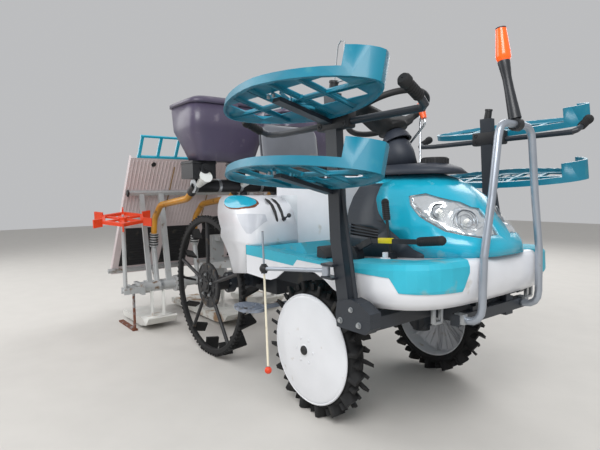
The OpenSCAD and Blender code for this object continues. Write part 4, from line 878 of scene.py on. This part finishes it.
def soft_pad(half, crown, pull, channels, turn, middle):
    """A crowned pad with rounded corners, sides that pull in, and sewn channels across its top."""
    form = bmesh.new()
    bmesh.ops.create_cube(form, size=2)
    bmesh.ops.subdivide_edges(form, edges=form.edges, cuts=SOFT_CUTS, use_grid_fill=True)
    for v in form.verts:
        u, w, t = v.co
        reach = max(abs(u), abs(w))
        plan = (abs(u) ** CORNER_POWER + abs(w) ** CORNER_POWER) ** (1 / CORNER_POWER)
        fit = reach / plan if plan else 1
        u, w = u * fit, w * fit
        edge = max(abs(u), abs(w))
        round_in = 1 - EDGE_ROUND * abs(t) ** 4 * edge ** 6
        rise = (1 - u * u) * (1 - w * w)
        side_in = pull * (1 - t * t) * edge ** 8
        x = (half[0] - side_in * (1 - w * w)) * u * round_in
        y = (half[1] - side_in * (1 - u * u)) * w * round_in
        z = half[2] * t * (1 - EDGE_DROP * edge ** 10)
        if t > 0:
            groove = sum(exp(-((u - c) / CHANNEL_WIDE) ** 2) for c in channels)
            z += t * (crown * rise ** 0.6 - CHANNEL_DEEP * groove * (1 - edge ** 6))
        v.co = at(*(turn @ Vector((x, y, z)) + middle))
    return form


def pad_welt(form, half, z, d, turn, middle, sides=10, steps=72):
    """The piping sewn round a pad, as a closed ring."""
    rings = []
    for k in range(steps):
        a = k * tau / steps
        c, s = cos(a), sin(a)
        fit = (abs(c) ** CORNER_POWER + abs(s) ** CORNER_POWER) ** (-1 / CORNER_POWER)
        centre = turn @ Vector((half[0] * c * fit, half[1] * s * fit, z)) + middle
        ring = []
        for j in range(sides):
            b = j * tau / sides
            off = turn @ Vector((c * cos(b), s * cos(b), sin(b))) * d / 2
            ring.append(form.verts.new(at(*(centre + off))))
        rings.append(ring)
    for a, b in zip(rings, rings[1:] + rings[:1]):
        for j in range(sides):
            form.faces.new((a[j], a[(j + 1) % sides], b[(j + 1) % sides], b[j]))


level = Matrix.Identity(3)
cushion_half = Vector((196, 206, 28))
cushion_mid = Vector((471, 0, 1030))
cushion_form = soft_pad(cushion_half, crown=14, pull=8, channels=(-0.45, 0.0, 0.45), turn=level,
                        middle=cushion_mid)
cushion = piece("vinyl_seat_cushion", vinyl_black, cushion_form, "seat", sharp=SOFT_SHARP)
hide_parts("seat_cushion")
back_lean = Matrix.Rotation(radians(-8), 3, "Y")
back_turn = back_lean @ Matrix.Rotation(radians(90), 3, "Y")
back_mid = Vector((269.7, 0, 1020)) + back_lean @ Vector((-25, 0, 143))
back_half = Vector((141, 203, 21))
back_form = soft_pad(back_half, crown=6, pull=5, channels=(0.55,), turn=back_turn, middle=back_mid)
seat_rest = piece("vinyl_seat_back", vinyl_grey, back_form, "seat", sharp=SOFT_SHARP)
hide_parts("seat_back")
WELT_D = 5
# columns: half size of the welt's ring, its height on the pad, the pad's turn and middle
WELTS = [(cushion_half * 0.985, 9, level, cushion_mid), (cushion_half * 0.975, -20, level, cushion_mid),
         (back_half * 0.985, 9, back_turn, back_mid)]
welts = bmesh.new()
for half, z, turn, middle in WELTS:
    pad_welt(welts, half, z, WELT_D, turn, middle)
piece("seat_welts", black_plastic, welts, "seat", sharp=PIPING_SHARP)
BARREL_Y, STAY_Y = 126, 120
pan = bmesh.new()
block(pan, (276, -200, 994), (664, 200, 1005), 5)
block(pan, (290, -150, 969), (370, 150, 996), 4)
for y in (-BARREL_Y, BARREL_Y):
    rod(pan, (690, y - 8, 992), (690, y + 8, 992), 28, sides=28)
    block(pan, (640, y - 8, 984), (690, y + 8, 1000), 2)
for y in (-STAY_Y, STAY_Y):
    block(pan, (262, y - 18, 990), (282, y + 18, 1060), 4)
piece("seat_pan", lever_black, pan, "seat")


# Steering wheel: a steel ring and spokes, foamed over in soft black. The plastic cap under its boss turns in
# the column's neck.

# Soft foam with a matt skin: no highlight, only a fine grain
foam_rim = finish("foamed_black_rim", "#17181a", 0.6, uneven=0.08, grain=(3, 0.3))
skinned(foam_rim, "steering_wheel", body="steering")
WHEEL_MID = Vector((955, 0, 1268))
WHEEL_TURN = Matrix.Rotation(radians(-24), 3, "Y")
BOSS_LOW, BOSS_HIGH = Vector((0, 0, -36)), Vector((0, 0, -28))
boss = bmesh.new()
rod(boss, WHEEL_MID + WHEEL_TURN @ BOSS_LOW, WHEEL_MID + WHEEL_TURN @ BOSS_HIGH, 88, 80, sides=36)
piece("steering_boss_cap", dash_plastic, boss, "steering")


# Front wheels: lugged rubber tyres on white pressed discs with raised ribs and a ring. Six bolts hold each
# disc round a black cap.

# Matt rubber, nearly black, with dried mud that thickens towards the ground
tyre_rubber = finish("tyre_rubber", "#0c0d0f", 0.75, uneven=0.1, soil=("#2b2925", 0.63, 70), low_soil=0.06,
                     grain=(5, 0.4))
# Baked white paint with a soft shine, splashed with mud
disc_white = finish("painted_white_disc", "#e0e2e6", 0.34, coat=0.15, uneven=0.02, soil=("#b4aa9a", 0.66, 60))
dress(tyre_rubber, "rear_ring_right", "rear_ring_left")
WHEEL_SHARP = radians(40)
for name in SIDES:
    for material, node in ((tyre_rubber, "front_tyre_"), (disc_white, "front_disc_")):
        skinned(material, node + name, body="front_wheel_" + name, sharp=WHEEL_SHARP)
HOOP_STEPS = 72


def ways_round(count, offset=0.0):
    """Ways out from an axle along Y, evenly turned, the first by a share of one step."""
    angles = [(k + offset) * tau / count for k in range(count)]
    return [Vector((cos(a), 0, sin(a))) for a in angles]


def hoop(form, wheel, out, radius, thick):
    """A round bar bent into a ring about an axle along Y."""
    middle = wheel + Vector((0, out, 0))
    ways = ways_round(HOOP_STEPS)
    for a, b in zip(ways, ways[1:] + ways[:1]):
        rod(form, middle + a * radius, middle + b * radius, thick, sides=8)


def bars_round(form, wheel, side, ways, near, far, d0, d1=None, sides=6):
    """Bars out round an axle; near and far are each a radius and a distance out along the axle."""
    for way in ways:
        rod(form, wheel + way * near[0] + Vector((0, side * near[1], 0)),
            wheel + way * far[0] + Vector((0, side * far[1], 0)), d0, d1, sides)


def heads_round(form, wheel, side, ways, radius, out, across):
    """Hexagon heads on a circle round an axle."""
    for way in ways:
        hex_bolt(form, wheel + way * radius + Vector((0, side * out, 0)), (0, side, 0), across)


FRONT_X, FRONT_Y, FRONT_Z = 926, 394, 277.5
HUB_CAP = [(2, 0), (19, 0), (19, 5), (16, 8), (2, 8)]
DISC_RIBS, DISC_BOLTS, FRONT_LUGS = 32, 6, 16
LOW_LUG = (0.026, 0.03, 0.013)
LUG_REACH, LUG_OUT, LUG_SKEW = 0.257, 0.021, radians(40)
for name, side in SIDES.items():
    wheel = Vector((FRONT_X, side * FRONT_Y, FRONT_Z))
    trim = bmesh.new()
    hoop(trim, wheel, side * 46.5, 222, 7)
    bars_round(trim, wheel, side, ways_round(DISC_RIBS, 0.5), (46, 62), (194, 47), 5)
    heads_round(trim, wheel, side, ways_round(DISC_BOLTS), 52, 67, 9)
    piece("front_disc_rim_" + name, disc_white, trim, "front_wheel_" + name)
    hub_cap = bmesh.new()
    lathe(hub_cap, wheel + Vector((0, side * 70, 0)), (0, side, 0), HUB_CAP, 28)
    piece("front_hub_cap_" + name, black_plastic, hub_cap, "front_wheel_" + name)
    # Low lugs stand between the tall ones on both shoulders, and a bead runs along each side wall
    lugs = bmesh.new()
    for k in range(2 * FRONT_LUGS):
        s = side if k % 2 else -side
        spin = Matrix.Rotation(-k * pi / FRONT_LUGS, 4, "Y")
        reach = Matrix.Translation((LUG_REACH, -s * LUG_OUT, 0))
        skew = Matrix.Rotation(s * LUG_SKEW, 4, "X")
        box_at(lugs, Matrix.Translation(at(*wheel)) @ spin @ reach @ skew, LOW_LUG)
    for out in (36, -36):
        hoop(lugs, wheel, side * out, 224, 5)
    piece("tyre_low_lugs_" + name, tyre_rubber, lugs, "front_wheel_" + name)


# Rear wheels: spoked steel rings covered in rubber, with cleats all round that bite in mud. The hub is a
# ribbed black casting, held by five plated nuts.

# A painted casting: dull, grainy and muddied
hub_black = finish("black_cast_hub", "#1b1c1f", 0.5, coat=0.05, uneven=0.1, soil=("#54483b", 0.6, 40),
                   grain=(4, 0.25))
dress(hub_black, "rear_hub_right", "rear_hub_left")
REAR_Y, REAR_Z = 388, 400
CLEATS, HUB_RIBS, HUB_NUTS = 84, 12, 5
for name, side in SIDES.items():
    wheel = Vector((0, side * REAR_Y, REAR_Z))
    cleats = bmesh.new()
    for out in (25, 43):
        bars_round(cleats, wheel, side, ways_round(CLEATS), (385, out), (396, out), 15, 9)
    piece("ring_cleats_" + name, tyre_rubber, cleats, "rear_wheel_" + name)
    hub = bmesh.new()
    hoop(hub, wheel, side * 37, 120, 8)
    hoop(hub, wheel, side * 39, 84, 6)
    bars_round(hub, wheel, side, ways_round(HUB_RIBS), (40, 39), (122, 38), 6, sides=8)
    rod(hub, wheel + Vector((0, side * 46, 0)), wheel + Vector((0, side * 56, 0)), 52, 46, sides=28)
    piece("hub_ribs_" + name, hub_black, hub, "rear_wheel_" + name)
    nuts = bmesh.new()
    heads_round(nuts, wheel, side, ways_round(HUB_NUTS, 0.25), 62, 48, 12)
    piece("hub_nuts_" + name, zinc, nuts, "rear_wheel_" + name)


# Lift: painted steel links on greased pins hold the planting section, and a short cylinder with a chromed rod
# raises it.

# Grey paint with a dull metal sheen, rusted brown in patches
steel_paint = finish("painted_steel_grey", "#b4b7b8", 0.4, metal=0.3, soil=("#77604a", 0.62, 50),
                     low_soil=0.05)
dress(steel_paint, "lower_links", "top_link", "planter_frame", "marker_arm_right", "marker_arm_left")
dress(chrome, "lift_rod")


# Planting section: a painted steel frame with cast planting cases and claws, on moulded floats. Its stands
# are bare steel, and its marker wheels are orange mouldings.

# A bare die casting: satin grey, grainy and muddied
cast_alloy = finish("die_cast_alloy", "#b0b2b3", 0.48, metal=0.4, soil=("#7c6a58", 0.6, 50), low_soil=0.05,
                    grain=(4, 0.3))
# Dull white plastic, with large dried mud stains
float_white = finish("moulded_float", "#d8d8d3", 0.5, uneven=0.04, soil=("#97795a", 0.57, 120), low_soil=0.03)
# Steel that has lost its paint, bright above and red with rust at its foot
bare_steel = finish("bare_steel_rusted_low", "#8f9091", 0.5, metal=0.4, soil=("#74432e", 0.74, 30),
                    low_soil=0.42)
dress(cast_alloy, "planting_cases", "rotor_right", "rotor_left")
skinned(float_white, "floats", body="planting_section", sharp=radians(35))
dress(bare_steel, "stand_right", "stand_left")
dress(orange_plastic, "marker_star_right", "marker_star_left")
CASE_Y, CASE_HALF = 300, 31
PIPE_X, PIPE_Z, COLLAR_D = -690, 298, 70
section = bmesh.new()
for side in SIDES.values():
    for x, z in ((-900, 240), (-1080, 214)):
        for out in (-1, 1):
            hex_bolt(section, (x, side * CASE_Y + out * CASE_HALF, z), (0, out, 0), 13)
    for inner, outer in ((150, 172), (420, 440)):
        rod(section, (PIPE_X, side * inner, PIPE_Z), (PIPE_X, side * outer, PIPE_Z), COLLAR_D, sides=32)
    hex_bolt(section, (-740, side * 612, PIPE_Z), (0, side, 0), 16)
piece("section_fittings", zinc, section, "planting_section")
# Each boot is ribbed, so that it bends with its hose
BOOT_RIBS, BOOT_PITCH, BOOT_LEAN = 5, 17, 12 / 90
boots = bmesh.new()
for row in ROWS:
    y = row * ROW_GAP
    for k in range(BOOT_RIBS):
        z = BOOT.z - 4 - BOOT_PITCH * k
        x = BOOT.x - 0.5 - BOOT_LEAN * (BOOT.z - z)
        rod(boots, (x, y, z), (x - 1, y, z - 9), 60, 58, sides=24)
piece("hose_boots", black_plastic, boots, "planting_section")


# Seedling table: a beige moulding, ribbed on both faces, that shifts sideways on its rail. It has four lanes
# with black feed belts, and a teal rack on top.

# Moulded beige without gloss, stained where wet mats slid. Its tone is set paler partly as painted light, to
# lift the table's shaded face
table_beige = finish("moulded_table_beige", "#cbbfc0", 0.5, uneven=0.02, soil=("#b5a69b", 0.69, 60),
                     grain=(3, 0.1))
# Matt black rubber with dried mud between its bars
belt_rubber = finish("feed_belt_rubber", "#15161a", 0.7, uneven=0.08, soil=("#3f3b35", 0.6, 60))
# A brown water stain along each lane's border
stained_edge = finish("stained_edge", "#8d7350", 0.7, uneven=0.15)
dress(table_beige, "seedling_table")
dress(teal, "table_racks")
TABLE_TOP = Vector((-668, 0, 1152))
SLOPE = radians(57)
DOWN = Vector((-cos(SLOPE), 0, -sin(SLOPE)))
OUT = Vector((-sin(SLOPE), 0, cos(SLOPE)))
SLOPE_TURN = Matrix((DOWN, Vector((0, 1, 0)), OUT)).transposed().to_4x4()


def on_table(form, low, high, edge=0):
    """A box on the sloping table: along its slope, across it and out from its underside, in mm."""
    low, high = Vector(low), Vector(high)
    middle = (low + high) / 2
    place = TABLE_TOP + DOWN * middle.x + Vector((0, middle.y, 0)) + OUT * middle.z
    box_at(form, Matrix.Translation(at(*place)) @ SLOPE_TURN, (high - low) / 1000, edge, segments=1)


# columns: an underside panel's top and foot along the slope, and where its lane borders start
PANELS = [(14, 246, 60), (284, 548, 284)]
UNDER_RIBS, UNDER_PITCH = 49, 24.5
TOP_RIBS, TOP_PITCH = 59, 20
table_ribs = bmesh.new()
for k in range(UNDER_RIBS):
    y = UNDER_PITCH * k - 588
    for top, foot, _ in PANELS:
        on_table(table_ribs, (top, y - 5, -3), (foot, y + 5, 1), 2)
for k in range(TOP_RIBS):
    y = TOP_PITCH * k - 580
    on_table(table_ribs, (24, y - 2.5, 4), (900, y + 2.5, 7.5), 1)
piece("table_ribs", table_beige, table_ribs, "seedling_table")
LANES, LANE_WIDE = 4, 303
BELT_BARS, BELT_PITCH = 14, 24
belts = bmesh.new()
for lane in range(LANES):
    y = LANE_WIDE * (lane - LANES // 2)
    on_table(belts, (568, y + 40, -3.5), (918, y + 262, 1), 1)
    for k in range(BELT_BARS):
        bar = 580 + BELT_PITCH * k
        on_table(belts, (bar, y + 44, -6), (bar + 6, y + 258, -3), 1)
piece("feed_belts", belt_rubber, belts, "seedling_table")
PLUG_DOWN, PLUG_D = 44, 32
plugs = bmesh.new()
for y in (-454, -151, 151, 454):
    spot = TABLE_TOP + DOWN * PLUG_DOWN + Vector((0, y, 0))
    rod(plugs, spot - OUT * 5, spot + OUT * 1, PLUG_D, sides=28)
piece("table_plugs", black_plastic, plugs, "seedling_table")
borders = bmesh.new()
for y in (-LANE_WIDE, 0, LANE_WIDE):
    for _, foot, border_top in PANELS:
        on_table(borders, (border_top, y - 4, -4), (foot, y + 4, 1), 1)
piece("lane_borders", stained_edge, borders, "seedling_table")
rail = bmesh.new()
for side in SIDES.values():
    near, far = sorted((side * 590, side * 604))
    on_table(rail, (246, near, -30), (282, far, -2), 2)
piece("rail_end_caps", black_plastic, rail, "planting_section")
